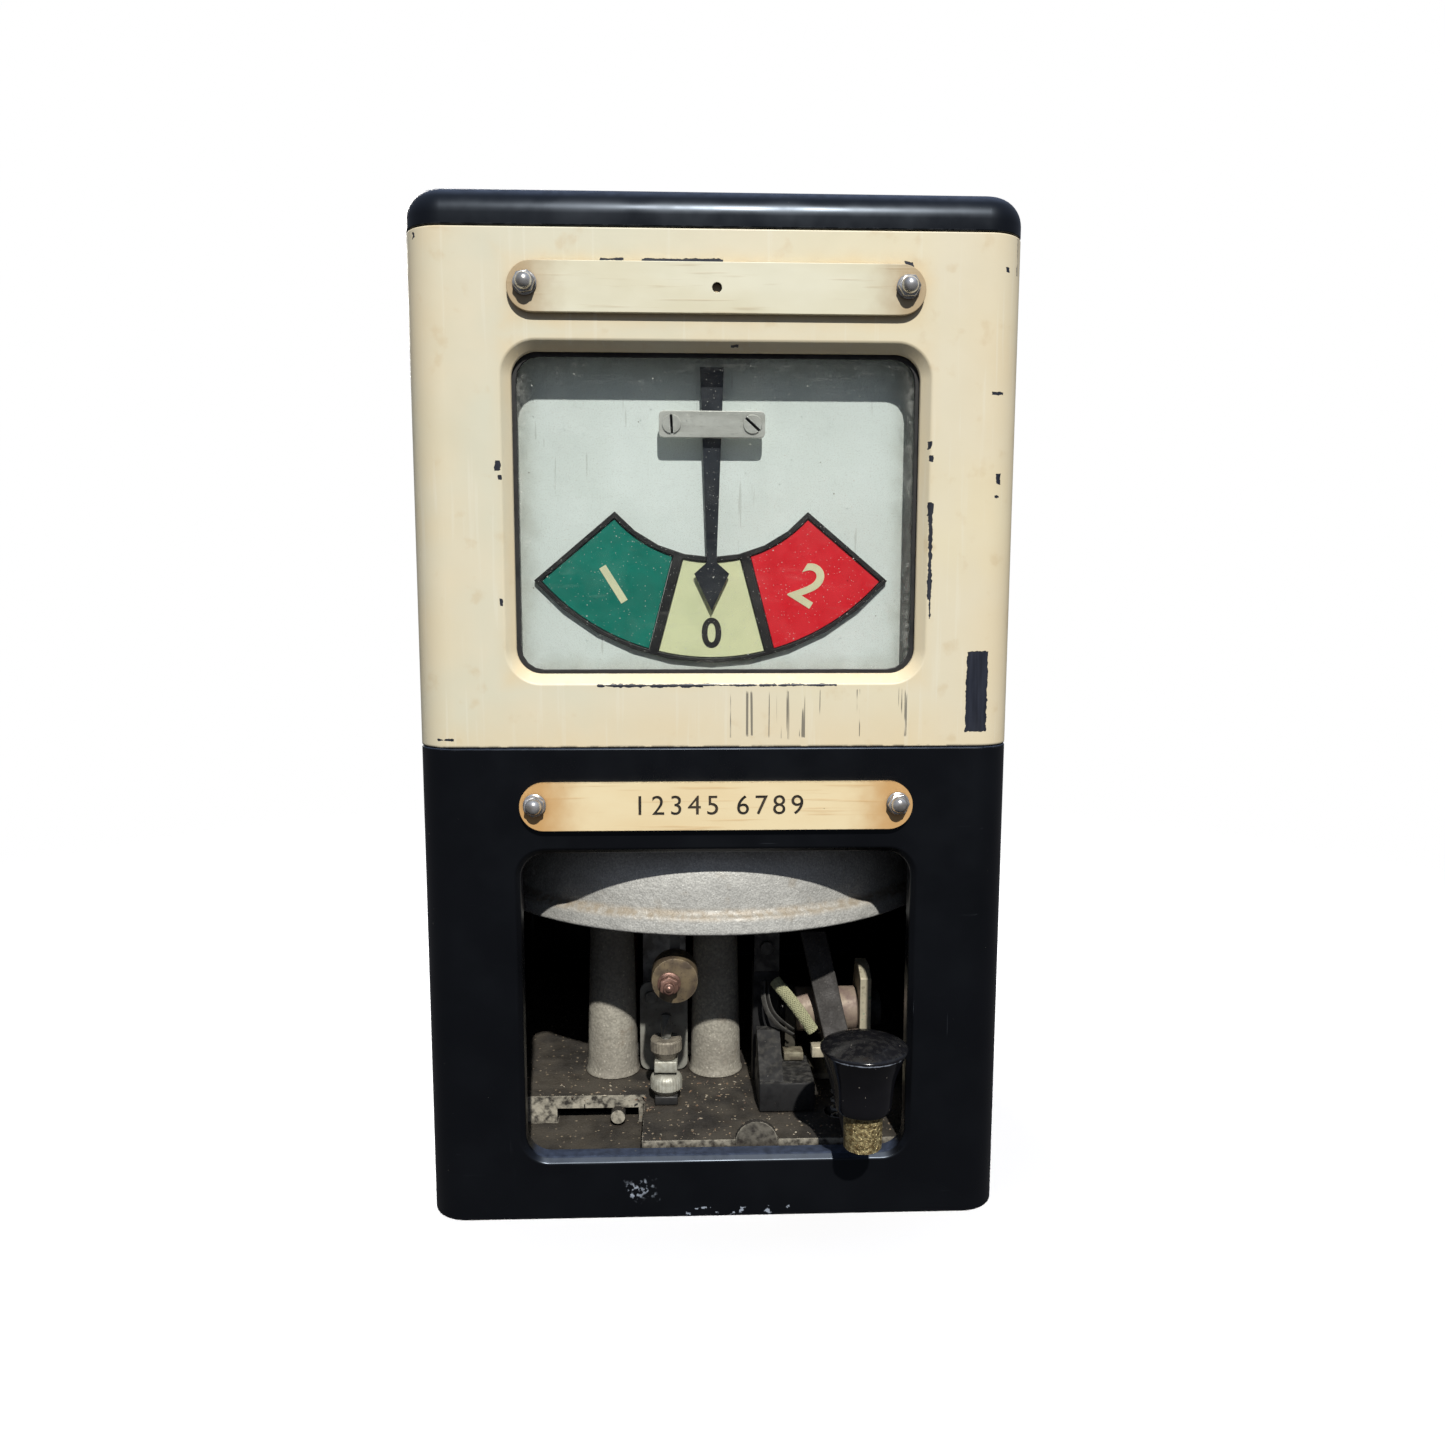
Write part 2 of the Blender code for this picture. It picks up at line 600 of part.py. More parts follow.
def make_gong():
    outer = [
        (4.8, 168), (18, 168), (40, 166.6), (60, 163), (76, 157), (88, 148.5), (94.5, 140),
        (97.8, 131), (98.6, 124), (98.5, 117.5), (98.9, 115.2), (100.6, 113.6), (GONG_RADIUS, 112),
        (GONG_RADIUS, 107.8), (100.7, GONG_LIP),
    ]
    inner = [
        (93.8, GONG_LIP), (92.6, 110), (93.4, 116), (93.8, 124), (93, 131), (89.8, 138.5), (83.6, 145.6),
        (73, 152.6), (58.4, 158.6), (39, 162.4), (18, 164), (4.8, 164),
    ]
    turned("gong", outer + inner, (0, GONG_DEPTH, 0), BELL_METAL, "Z", 40)
    top = JOINT_HEIGHT + 1.5 - GAP
    stud = [(0, top), (12, top), (12, top - 4), (8, 168.6), (4.4, 168.6), (4.4, 156), (0, 156)]
    bolt = turned("gong_bolt", stud, (0, GONG_DEPTH, 0), STEEL, "Z", 20)
    join(bolt, slab("gong_nut", [polygon(6, 9.0)], 5.0, (0, GONG_DEPTH, 161.0), "Z"))


def make_terminal():
    """The screw terminal that stands on the casting in front of the frame."""
    x, depth = -19.3, 44.0
    foot = FLOOR + GAP
    box("terminal_bush", (x - 4.7, x + 4.7), (depth - 4.7, depth + 4.7), (foot, 29.4), RUBBER, 0.4)
    profile = [
        (0, 63.0), (2.1, 63.0), (2.1, 38.4), (4.4, 38.4), (6.0, 37.0), (6.6, 35.8), (6.6, 32.0),
        (4.6, 29.7), (0, 29.7),
    ]
    stud = turned("terminal_stud", profile, (x, depth, 0), STEEL, steps=20)
    cut(stud, box("stud_flat", (x - 3, x + 3), (depth - 4, depth - 1.0), (54, 64)))
    cut(stud, cylinder("stud_hole", 0.7, 8, (x, depth, 60.5), "Y", sides=10))
    join(stud, slab("terminal_lock_nut", [polygon(4, 6.6, turn=42)], 4.8, (x, depth, 42.0)))
    high = [(2.4, 53.0), (5.9, 53.0), (6.5, 52.4), (6.5, 48.2), (4.4, 45.4), (4.2, 44.8), (2.4, 44.8)]
    turned("terminal_nut", high, (x, depth, 0), STEEL, steps=20)


def make_tapper():
    x, depth = KNOB
    knob = [
        (0, 77.4), (6, 76.9), (11, 75.6), (14.2, 74.3), (15.5, 73.6), (15.8, 72.9), (15.5, 72.0),
        (13.8, 68.1), (11.7, 62.7), (10.8, 57.3), (10.5, 52.2), (9.9, 50.4), (8.8, 49.4), (0, 49.4),
    ]
    turned("tapper_knob", knob, (x, depth, 0), BAKELITE, "Z", 28)
    ferrule = [(0, 49.1), (7.2, 49.1), (6.9, 37.6), (6.4, 35.8), (5.4, 35), (0, 35)]
    turned("knob_ferrule", ferrule, (x, depth, 0), BRASS, "Z", 20)
    back, height = TAPPER_PIVOT
    side = [
        (-8.6, 36.5), (52, 41), (59.2, 45), (60.2, ARM_FOOT), (60.2, 60), (65.5, 91), (61.5, 92), (54, 58),
        (50, 53), (47, ARM_FOOT), (-8.6, 45.5),
    ]
    outline = [(depth_at - back, z - height) for depth_at, z in side]
    lever = slab("tapper_lever", [outline], 11.0, (LEVER_X, back, height), "X", CASTING)
    for vertex in lever.data.vertices:
        above_foot = max(0.0, vertex.co.z + (height - ARM_FOOT) * MM)
        vertex.co.x -= ARM_LEAN * above_foot
    bush = cylinder("tapper_bush", BUSH_RADIUS, 26.8, (49.4, back, height), "X", BRASS, 28)
    cut(bush, cylinder("bush_bore", 4.4, 40, (49.4, back, height), "X", sides=20))
    pin = [(0, 73.3), (7.0, 73.3), (7.5, 72.8), (7.5, 68.3), (4.1, 68.3), (4.1, 29.2), (0, 29.2)]
    turned("tapper_pin", pin, (0, back, height), STEEL, "X", 24)
    foot = FLOOR + GAP
    right = [(59, foot), (82, foot), (82, 60), (75, 75.5), (66, 75.5), (59, 71.5)]
    left = [(61, foot), (79, foot), (79, 60), (74, 64), (66, 64), (61, 60)]
    cheeks = []
    for look, outline, middle, thickness in ((NICKEL, right, 65.5, 4.8), (None, left, 33.5, 4.4)):
        shape = [(depth_at - back, z - height) for depth_at, z in outline]
        name = "tapper_bracket" if look else "left_cheek"
        cheeks.append(slab(name, [shape, polygon(20, 4.4)], thickness, (middle, back, height), "X", look))
    join(*cheeks, box("bracket_base", (31.5, 67.7), (62, 78), (foot, foot + 2.5)))
    helix("tapper_spring", 3.8, 1.2, 4.5, 21.8, 37.6, (51.5, 32, 0), STEEL)


def make_contacts():
    foot = FLOOR + GAP
    block = box("contact_block", (18.3, 41.0), (31.5, 59.5), (foot, 38.2), BAKELITE, 1.0)
    riser = [(33, 37), (56, 37), (56, 52.5), (52, 52.5), (33, 38.4)]
    join(block, slab("contact_riser", [riser], 9.6, (23.4, 0, 0), "X"))
    box("contact_leaf", (30.2, 38.4), (52.4, 59.5), (38.5, 42.0), BRASS, 0.3)
    box("contact_point", (41.0, 46.1), (44, 50), (43.2, 47.8), BRASS, 0.4)
    box("terminal_post", (17.5, 29.0), (62, 69), (foot, 77), BAKELITE, 0.6)
    tab = box("terminal_tab", (18.0, 28.6), (60.2, 61.7), (75, 94), NICKEL)
    join(tab, cylinder("terminal_tab_screw", 2.8, 2.2, (23.2, 59.4, 85.6), "Y", sides=16))
    spring_route = [(22.8, 57, 70), (22.4, 54, 66), (24, 51.5, 61), (28, 50, 56.5), (33.5, 49.5, 52)]
    tube("contact_spring", spring_route, 2.6, STEEL)
    lead_route = [(26.5, 55, 72.6), (28.5, 53, 70.4), (33, 51, 65.3), (37.5, 49.4, 59.5), (41.8, 48.6, 53.2)]
    tube("braided_lead", lead_route, 5.2, BRAID)


make_case()
make_cap()
make_rear_covers()
make_name_plates()
make_window()
make_dial()
make_needle()
make_bearing_bridge()
make_movement()
make_base_casting()
make_frame()
make_magnet()
make_hammer()
make_gong()
make_terminal()
make_tapper()
make_contacts()
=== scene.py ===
"""Looks for a railway block bell and needle indicator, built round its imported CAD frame.

Blender 4.5 script. Sizes are in millimetres and the helpers turn them into metres. X is to the right,
depth runs from the front face into the case, and Z is up from the underside.
"""

import math
import random

import bmesh
import bpy
from mathutils import Matrix, Vector


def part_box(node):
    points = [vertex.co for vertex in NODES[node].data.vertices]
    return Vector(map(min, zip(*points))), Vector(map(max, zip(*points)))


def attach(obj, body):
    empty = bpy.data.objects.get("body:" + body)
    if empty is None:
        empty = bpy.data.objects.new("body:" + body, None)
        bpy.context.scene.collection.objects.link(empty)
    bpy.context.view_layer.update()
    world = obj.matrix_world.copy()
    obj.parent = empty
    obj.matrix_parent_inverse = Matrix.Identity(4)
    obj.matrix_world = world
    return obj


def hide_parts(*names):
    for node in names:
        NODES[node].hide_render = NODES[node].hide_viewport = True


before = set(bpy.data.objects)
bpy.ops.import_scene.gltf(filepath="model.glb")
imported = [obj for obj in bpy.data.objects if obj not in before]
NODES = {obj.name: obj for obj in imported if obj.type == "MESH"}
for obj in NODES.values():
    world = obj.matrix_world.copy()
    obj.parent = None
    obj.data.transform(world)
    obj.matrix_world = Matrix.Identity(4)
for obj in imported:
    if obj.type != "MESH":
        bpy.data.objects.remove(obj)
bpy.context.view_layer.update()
MM = 0.001
FACE_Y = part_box("lower_case")[0][1]
SHARP = math.radians(35)
SOFT_EDGE = 0.35
# The case: corner, walls, cap rounding and the two windows as left, right, bottom and top
CORNER = 14.0
WALL = 5.0
CAP_ROUND = 10.0
LOWER_WINDOW = (-71.5, 71.5, 24.0, 141.0)
UPPER_WINDOW = (-71.5, 71.5, 206.5, 318.5)
WINDOW_CORNER = 9.0
# Half the length of the name plates
PLATE_HALF = 71.0
SECTOR_INNER = 46.2
SECTOR_OUTER = 85.0

# Depth into the lower case of the edge between its ledge and recess, and that edge's x
RECESS_DEPTH = 45.0
RECESS_RIGHT = -29.5
RECESS_FLOOR = 12.0

WHITE_LIGHT = (1.0, 0.97, 0.92)
KEY_RISE = math.radians(44.3)
KEY_TURN = math.radians(5.7)


def at(x, depth, z):
    """World position of a point given in the case's own x, depth and height."""
    return Vector((x * MM, FACE_Y + depth * MM, z * MM))


def span(node):
    """A CAD node's lowest and highest corners as (x, depth, z) in millimetres."""
    return [Vector((p[0], p[1] - FACE_Y, p[2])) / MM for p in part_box(node)]


def middle(node):
    return sum(span(node), Vector()) / 2


def extent(node):
    """A CAD node's lowest and highest corners, and its middle."""
    low, high = span(node)
    return low, high, (low + high) / 2


# ---------------------------------------------------------------- material kit


LOOKS = {}


class Look:
    """A material being put together: its nodes, and short ways to add more of them."""

    def __init__(self, name, roughness=0.5, metallic=0.0, specular=0.5):
        self.material = bpy.data.materials.new(name)
        self.material.use_nodes = True
        self.tree = self.material.node_tree
        self.shader = self.tree.nodes["Principled BSDF"]
        self.shader.inputs["Roughness"].default_value = roughness
        self.shader.inputs["Metallic"].default_value = metallic
        self.shader.inputs["Specular IOR Level"].default_value = specular
        self.name = name
        self.point = self.node("ShaderNodeTexCoord").outputs["Object"]
        self.tone = None
        self.split = None
        self.normal = None

    def node(self, kind, **settings):
        made = self.tree.nodes.new(kind)
        for key, value in settings.items():
            setattr(made, key, value)
        return made

    def feed(self, socket, value):
        if isinstance(value, bpy.types.NodeSocket):
            self.tree.links.new(value, socket)
        elif isinstance(value, tuple) and len(value) == 3 and socket.type == "RGBA":
            socket.default_value = (*value, 1.0)
        else:
            socket.default_value = value

    def maths(self, operation, a, b=0.0, clamp=False):
        made = self.node("ShaderNodeMath", operation=operation, use_clamp=clamp)
        self.feed(made.inputs[0], a)
        self.feed(made.inputs[1], b)
        return made.outputs[0]

    def spread(self, value, low, high, start=0.0, end=1.0):
        """Value between low and high, eased to run from start to end."""
        made = self.node("ShaderNodeMapRange", interpolation_type="SMOOTHSTEP")
        for socket, given in zip(made.inputs, (value, low, high, start, end)):
            self.feed(socket, given)
        return made.outputs[0]

    def mapped(self, stretch, shift=(0.0, 0.0, 0.0)):
        made = self.node("ShaderNodeMapping")
        self.feed(made.inputs["Vector"], self.point)
        made.inputs["Scale"].default_value = stretch
        made.inputs["Location"].default_value = shift
        return made.outputs[0]

    def grain(self, size, detail=3.0, stretch=(1.0, 1.0, 1.0), shift=(0.0, 0.0, 0.0), distortion=0.0):
        """Noise whose lumps are about size millimetres across, longer where stretch is below 1."""
        made = self.node("ShaderNodeTexNoise")
        self.feed(made.inputs["Vector"], self.mapped(stretch, shift))
        made.inputs["Scale"].default_value = 1.0 / (size * MM)
        made.inputs["Detail"].default_value = detail
        made.inputs["Distortion"].default_value = distortion
        return made.outputs["Fac"]

    def specks(self, pitch, radius, shift=(0.0, 0.0, 0.0)):
        """Small round spots, one for each cell of that pitch, with their size uneven."""
        made = self.node("ShaderNodeTexVoronoi")
        self.feed(made.inputs["Vector"], self.mapped((1.0, 1.0, 1.0), shift))
        made.inputs["Scale"].default_value = 1.0 / (pitch * MM)
        reach = self.spread(made.outputs["Color"], 0.0, 1.0, 0.0, radius / pitch)
        return self.maths("LESS_THAN", made.outputs["Distance"], reach)

    def cloud(self, size, detail, low, high, start=0.0, end=1.0, **shape):
        """Patches of noise about size millimetres across, eased from start to end."""
        return self.spread(self.grain(size, detail, **shape), low, high, start, end)

    def mix(self, factor, a, b):
        made = self.node("ShaderNodeMix", data_type="RGBA")
        self.feed(made.inputs[0], factor)
        self.feed(made.inputs[6], a)
        self.feed(made.inputs[7], b)
        return made.outputs[2]

    def lay(self, colour, mask, *others):
        """Lays a colour over the tone so far, where the masks are all high."""
        for other in others:
            mask = self.both(mask, other)
        self.tone = self.mix(mask, self.tone, colour)

    def axis(self, name):
        """The position along X, Y or Z, in metres."""
        if self.split is None:
            self.split = self.node("ShaderNodeSeparateXYZ")
            self.feed(self.split.inputs[0], self.point)
        return self.split.outputs[name]

    def facing(self, name):
        """How far the surface faces along X, Y or Z."""
        if self.normal is None:
            self.normal = self.node("ShaderNodeSeparateXYZ")
            self.feed(self.normal.inputs[0], self.node("ShaderNodeNewGeometry").outputs["Normal"])
        return self.normal.outputs[name]

    def upward(self, low, high):
        """1 where the surface faces up."""
        return self.spread(self.facing("Z"), low, high)

    def frontward(self, low, high):
        """1 where the surface faces the front."""
        return self.spread(self.facing("Y"), low, high, 1.0, 0.0)

    def away(self, name, centre, half):
        """How far a point is past a band of that centre and half width, in millimetres."""
        offset = self.maths("ABSOLUTE", self.maths("SUBTRACT", self.axis(name), centre * MM))
        return self.maths("DIVIDE", self.maths("SUBTRACT", offset, half * MM), MM)

    def patch(self, x, z, half_x, half_z, ragged=1.0, size=2.0, soft=0.05):
        """A ragged patch seen along Y: 1 inside its rectangle and 0 outside."""
        past = self.maths("MAXIMUM", self.away("X", x, half_x), self.away("Z", z, half_z))
        uneven = self.maths("MULTIPLY", self.maths("SUBTRACT", self.grain(size, 4.0), 0.5), 4 * ragged)
        return self.spread(self.maths("ADD", past, uneven), -soft, soft, 1.0, 0.0)

    def either(self, *masks):
        found = masks[0]
        for mask in masks[1:]:
            found = self.maths("MAXIMUM", found, mask)
        return found

    def both(self, a, b):
        return self.maths("MULTIPLY", a, b)

    def edges(self, radius, share=0.5, size=3.0):
        """Worn edges: high where the surface turns within the radius, broken up by noise."""
        bevel = self.node("ShaderNodeBevel", samples=4)
        bevel.inputs["Radius"].default_value = radius * MM
        dot = self.node("ShaderNodeVectorMath", operation="DOT_PRODUCT")
        self.feed(dot.inputs[0], bevel.outputs["Normal"])
        self.feed(dot.inputs[1], self.node("ShaderNodeNewGeometry").outputs["Normal"])
        turn = self.spread(dot.outputs["Value"], 0.8, 0.99, 1.0, 0.0)
        return self.both(turn, self.spread(self.grain(size, 4.0), 0.62 - share * 0.3, 0.66 - share * 0.2))

    def dirt_and_shade_in_nooks(self, reach):
        """Dirt and painted shade in corners: high where something stands within that reach, by ambient
        occlusion.
        """
        shade = self.node("ShaderNodeAmbientOcclusion", samples=4)
        shade.inputs["Distance"].default_value = reach * MM
        return self.spread(shade.outputs["AO"], 0.35, 0.9, 1.0, 0.0)

    def bump(self, *layers):
        """Layers of (height value, depth in millimetres)."""
        normal = None
        for height, depth in layers:
            made = self.node("ShaderNodeBump")
            made.inputs["Strength"].default_value = 1.0
            made.inputs["Distance"].default_value = depth * MM
            self.feed(made.inputs["Height"], height)
            if normal is not None:
                self.feed(made.inputs["Normal"], normal)
            normal = made.outputs[0]
        self.feed(self.shader.inputs["Normal"], normal)

    def show(self, surface):
        """Uses this shader node in place of the plain one."""
        self.feed(self.tree.nodes["Material Output"].inputs["Surface"], surface.outputs[0])

    def finish(self, roughness=None):
        self.feed(self.shader.inputs["Base Color"], self.tone)
        if roughness is not None:
            self.feed(self.shader.inputs["Roughness"], roughness)
        LOOKS[self.name] = self.material


# ---------------------------------------------------------------- materials


def black_paint():
    """Blue-black stove enamel with hairline scratches, scuffed lighter edges, and dust with a painted
    bluish sky sheen on what faces up.
    """
    look = Look("black_case", 0.3, specular=0.42)
    look.shader.inputs["Specular Tint"].default_value = (0.72, 0.84, 1.0, 1.0)
    look.tone = look.mix(look.grain(38.0), (0.0018, 0.0019, 0.0024), (0.0042, 0.0046, 0.006))
    # Dust and painted sky sheen: a bluish film laid on the faces that look up.
    dust_and_sky_sheen = look.both(look.upward(0.55, 0.95), look.cloud(3.0, 5.0, 0.2, 0.75, 0.45, 1.0))
    look.lay((0.05, 0.065, 0.105), dust_and_sky_sheen)
    scratch = look.either(
        look.cloud(0.9, 2.0, 0.74, 0.78, stretch=(1.0, 1.0, 0.02)),
        look.cloud(1.1, 2.0, 0.73, 0.78, stretch=(0.03, 1.0, 1.0)),
    )
    scratch = look.both(scratch, look.cloud(30.0, 3.0, 0.5, 0.62))
    look.lay((0.05, 0.055, 0.065), scratch, 0.35)
    smudge = look.both(look.patch(-29.0, 11.0, 4.5, 2.5, 2.5, 5.0, 2.0), look.cloud(1.6, 5.0, 0.5, 0.62))
    chips = look.both(look.patch(8.0, 2.2, 22.0, 1.6, 1.0, 4.0), look.cloud(2.6, 4.0, 0.6, 0.64))
    lower_front = look.frontward(-0.7, -0.4)
    look.lay((0.3, 0.34, 0.4), look.either(smudge, chips), lower_front)
    lightened = look.edges(0.8, 0.5, 4.0)
    look.lay((0.16, 0.175, 0.2), lightened, 0.75)
    dots = look.specks(7.0, 0.35)
    look.lay((0.25, 0.24, 0.2), dots, 0.4)
    look.bump((look.grain(14.0, 2.0), 0.05), (scratch, -0.02))
    rough = look.maths("ADD", look.cloud(20.0, 4.0, 0.3, 0.7, 0.24, 0.36), look.both(dust_and_sky_sheen, 0.3))
    look.finish(rough)


def cream_paint():
    """Cream enamel over black: yellowed round the fittings, dirty at its edges, brown with soiling and
    painted shade in its corners, and chipped to the black.
    """
    look = Look("cream_case", 0.42)
    front = look.frontward(-0.75, -0.45)
    across = look.spread(look.axis("X"), -0.1, 0.1)
    look.tone = look.mix(across, (0.68, 0.665, 0.52), (0.76, 0.69, 0.49))
    look.lay((0.74, 0.68, 0.51), look.cloud(45.0, 3.0, 0.35, 0.65))
    left, right, low, high = UPPER_WINDOW
    ring = look.maths("MAXIMUM", look.away("X", 0.0, right),
                      look.away("Z", (low + high) / 2, (high - low) / 2))
    ring = look.spread(look.maths("ADD", ring, look.both(look.grain(12.0, 3.0), 8.0)), 1.0, 12.0, 1.0, 0.0)
    strip = look.maths("MAXIMUM", look.away("X", 0.0, PLATE_HALF), look.away("Z", 338.5, 9.0))
    strip = look.spread(look.maths("ADD", strip, look.both(look.grain(10.0, 3.0), 8.0)), 1.0, 11.0, 1.0,
                        0.0)
    lower_edge = look.spread(look.axis("Z"), 0.180, 0.203, 0.9, 0.0)
    sides = look.spread(look.away("X", 0.0, 78.0), 0.0, 26.0, 0.0, 0.45)
    aged = look.either(look.both(ring, 0.8), look.both(strip, 0.7), look.both(lower_edge, 0.6), sides)
    aged = look.both(aged, look.cloud(24.0, 5.0, 0.25, 0.7, 0.35, 1.0))
    look.lay((0.75, 0.6, 0.36), aged)
    # Brown soiling and painted shade in the corners round the fittings.
    brown = look.both(look.dirt_and_shade_in_nooks(7.0), 0.55)
    look.lay((0.42, 0.29, 0.14), brown)
    stains = look.both(look.cloud(9.0, 6.0, 0.6, 0.75), 0.35)
    look.lay((0.6, 0.46, 0.26), stains)
    rub = look.both(look.cloud(2.0, 2.0, 0.6, 0.72, stretch=(1.0, 1.0, 0.04)), 0.2)
    look.lay((0.82, 0.8, 0.68), rub)
    # Chips as middle x, middle z, half width and half height
    marks = (
        (74.7, 287.0, 0.6, 1.2), (75.3, 282.5, 0.7, 1.0), (75.2, 265.0, 0.6, 2.2),
        (75.7, 250.0, 0.7, 17.0), (76.0, 235.0, 0.5, 9.0), (98.5, 305.0, 2.2, 0.5),
        (-76.2, 279.4, 0.9, 1.7), (-75.6, 275.2, 0.5, 0.7), (99.6, 275.6, 0.9, 1.8),
        (99.4, 269.4, 0.9, 0.4), (93.9, 200.0, 3.9, 14.5), (-24.0, 202.4, 19.0, 0.5),
        (17.0, 202.6, 26.0, 0.3), (-12.0, 348.3, 14.0, 0.6), (-36.0, 348.5, 4.0, 0.4),
        (66.0, 347.8, 1.4, 1.0), (101.0, 347.0, 0.7, 0.7), (-76.0, 232.0, 0.4, 1.2),
        (6.0, 320.4, 1.2, 0.35), (-97.0, 183.0, 3.0, 0.4), (106.4, 352.0, 1.3, 6.0),
        (-103.5, 356.5, 0.6, 1.0),
    )
    bare = look.either(*(look.patch(*mark, ragged=0.45, size=2.0) for mark in marks))
    lines = look.cloud(0.9, 1.0, 0.66, 0.68, stretch=(1.0, 1.0, 0.012))
    lines = look.both(lines, look.patch(38.0, 192.5, 34.0, 8.5, 2.0, 6.0, 0.5))
    lines = look.both(lines, look.cloud(6.0, 2.0, 0.46, 0.52, stretch=(1.0, 1.0, 0.25)))
    joint = look.both(look.spread(look.axis("Z"), 0.1803, 0.1812, 1.0, 0.0),
                      look.cloud(7.0, 4.0, 0.4, 0.5))
    bare = look.either(look.both(bare, front), look.both(joint, 0.6), look.both(lines, 0.7))
    chipped = look.both(look.edges(0.7, 0.1, 9.0), look.cloud(16.0, 3.0, 0.52, 0.6))
    bare = look.either(bare, chipped)
    brushed = look.mix(look.grain(0.8, 2.0, (1.0, 1.0, 0.06)), (0.004, 0.005, 0.01), (0.03, 0.036, 0.055))
    look.lay(brushed, bare)
    spots = look.both(look.specks(16.0, 0.5), 0.75)
    look.lay((0.12, 0.08, 0.05), spots)
    look.bump((look.grain(11.0, 3.0), 0.06), (bare, -0.14))
    rough = look.cloud(14.0, 4.0, 0.3, 0.7, 0.36, 0.5)
    look.finish(rough)


def ivorine(name, pale, tan, brown, spread_from):
    """A celluloid plate that browns at its ends, with brown soiling and painted shade round its nuts."""
    look = Look(name, 0.4)
    ends = look.away("X", 0.0, spread_from)
    ends = look.spread(look.maths("ADD", ends, look.both(look.grain(6.0, 4.0), 10.0)), 4.0, 24.0)
    look.tone = look.mix(look.cloud(16.0, 4.0, 0.3, 0.7, stretch=(0.3, 1.0, 1.0)), pale, tan)
    look.lay(brown, ends, 0.85)
    # Brown soiling and painted shade round the nuts and in the plate's corners.
    look.lay((0.24, 0.13, 0.05), look.dirt_and_shade_in_nooks(3.0), 0.7)
    streaks = look.cloud(1.5, 3.0, 0.58, 0.74, stretch=(0.05, 1.0, 1.0))
    look.lay(brown, streaks, 0.35)
    look.lay((0.35, 0.22, 0.1), look.edges(0.6, 0.6), 0.5)
    look.lay((0.1, 0.07, 0.04), look.specks(9.0, 0.5), 0.8)
    look.bump((streaks, 0.02), (look.grain(20.0), 0.1))
    look.finish(look.cloud(10.0, 3.0, 0.3, 0.7, 0.32, 0.48))


def metal(name, bright, dull, size, roughness, metallic, corner_dirt_and_shade, pits, edge=None, stretch=(1, 1, 1),
          shaded_from=None):
    """Bare metal: two tones in patches, soiling and painted shade in its corners, brighter worn edges and a
    pitted skin, and painted shadow above a height where one is given.
    """
    look = Look(name, metallic=metallic)
    cloud = look.cloud(size, 5.0, 0.34, 0.66, stretch=stretch)
    look.tone = look.mix(cloud, bright, dull)
    # Soiling and painted shade in the corners, darker where other parts stand close.
    look.lay(tuple(0.3 * v for v in dull), look.dirt_and_shade_in_nooks(3.0), corner_dirt_and_shade)
    look.lay(edge or tuple(min(1.0, 1.35 * v) for v in bright), look.edges(0.5, 0.8, 2.0))
    specks = look.cloud(size / 5, 3.0, 0.62, 0.7, stretch=stretch)
    look.lay(tuple(0.4 * v for v in dull), specks, 0.5)
    if shaded_from:
        # Painted shadow: everything above that height is darkened, standing in for the hammer's shadow over
        # the terminal.
        painted_shadow = look.spread(look.axis("Z"), shaded_from * MM, (shaded_from + 1) * MM, 0.0, 0.8)
        look.lay((0.03, 0.028, 0.024), painted_shadow)
    look.bump((look.grain(size / 9, 2.0, stretch), pits), (look.grain(size, 3.0), pits * 2))
    look.finish(look.cloud(size / 2, 3.0, 0.3, 0.7, *roughness))


def cheek_brass():
    """The bracket's brass: bright on its right cheek and painted near black on its left, as shade."""
    look = Look("cheek_brass", 0.6, metallic=0.15)
    look.tone = look.mix(look.cloud(4.0, 5.0, 0.34, 0.66), (0.5, 0.45, 0.33), (0.4, 0.37, 0.27))
    look.lay((0.12, 0.26, 0.16), look.specks(3.4, 0.9), 0.5)
    look.lay((0.14, 0.12, 0.08), look.cloud(1.2, 4.0, 0.55, 0.7), 0.5)
    # Painted shade: the left cheek, below about x 45 mm, is laid near black.
    left_cheek_shade = look.spread(look.axis("X"), 0.045, 0.05, 0.92, 0.0)
    look.lay((0.02, 0.018, 0.015), left_cheek_shade)
    look.bump((look.grain(0.6, 3.0), 0.04), (look.grain(5.0), 0.08))
    look.finish(look.cloud(3.0, 3.0, 0.3, 0.7, 0.5, 0.7))


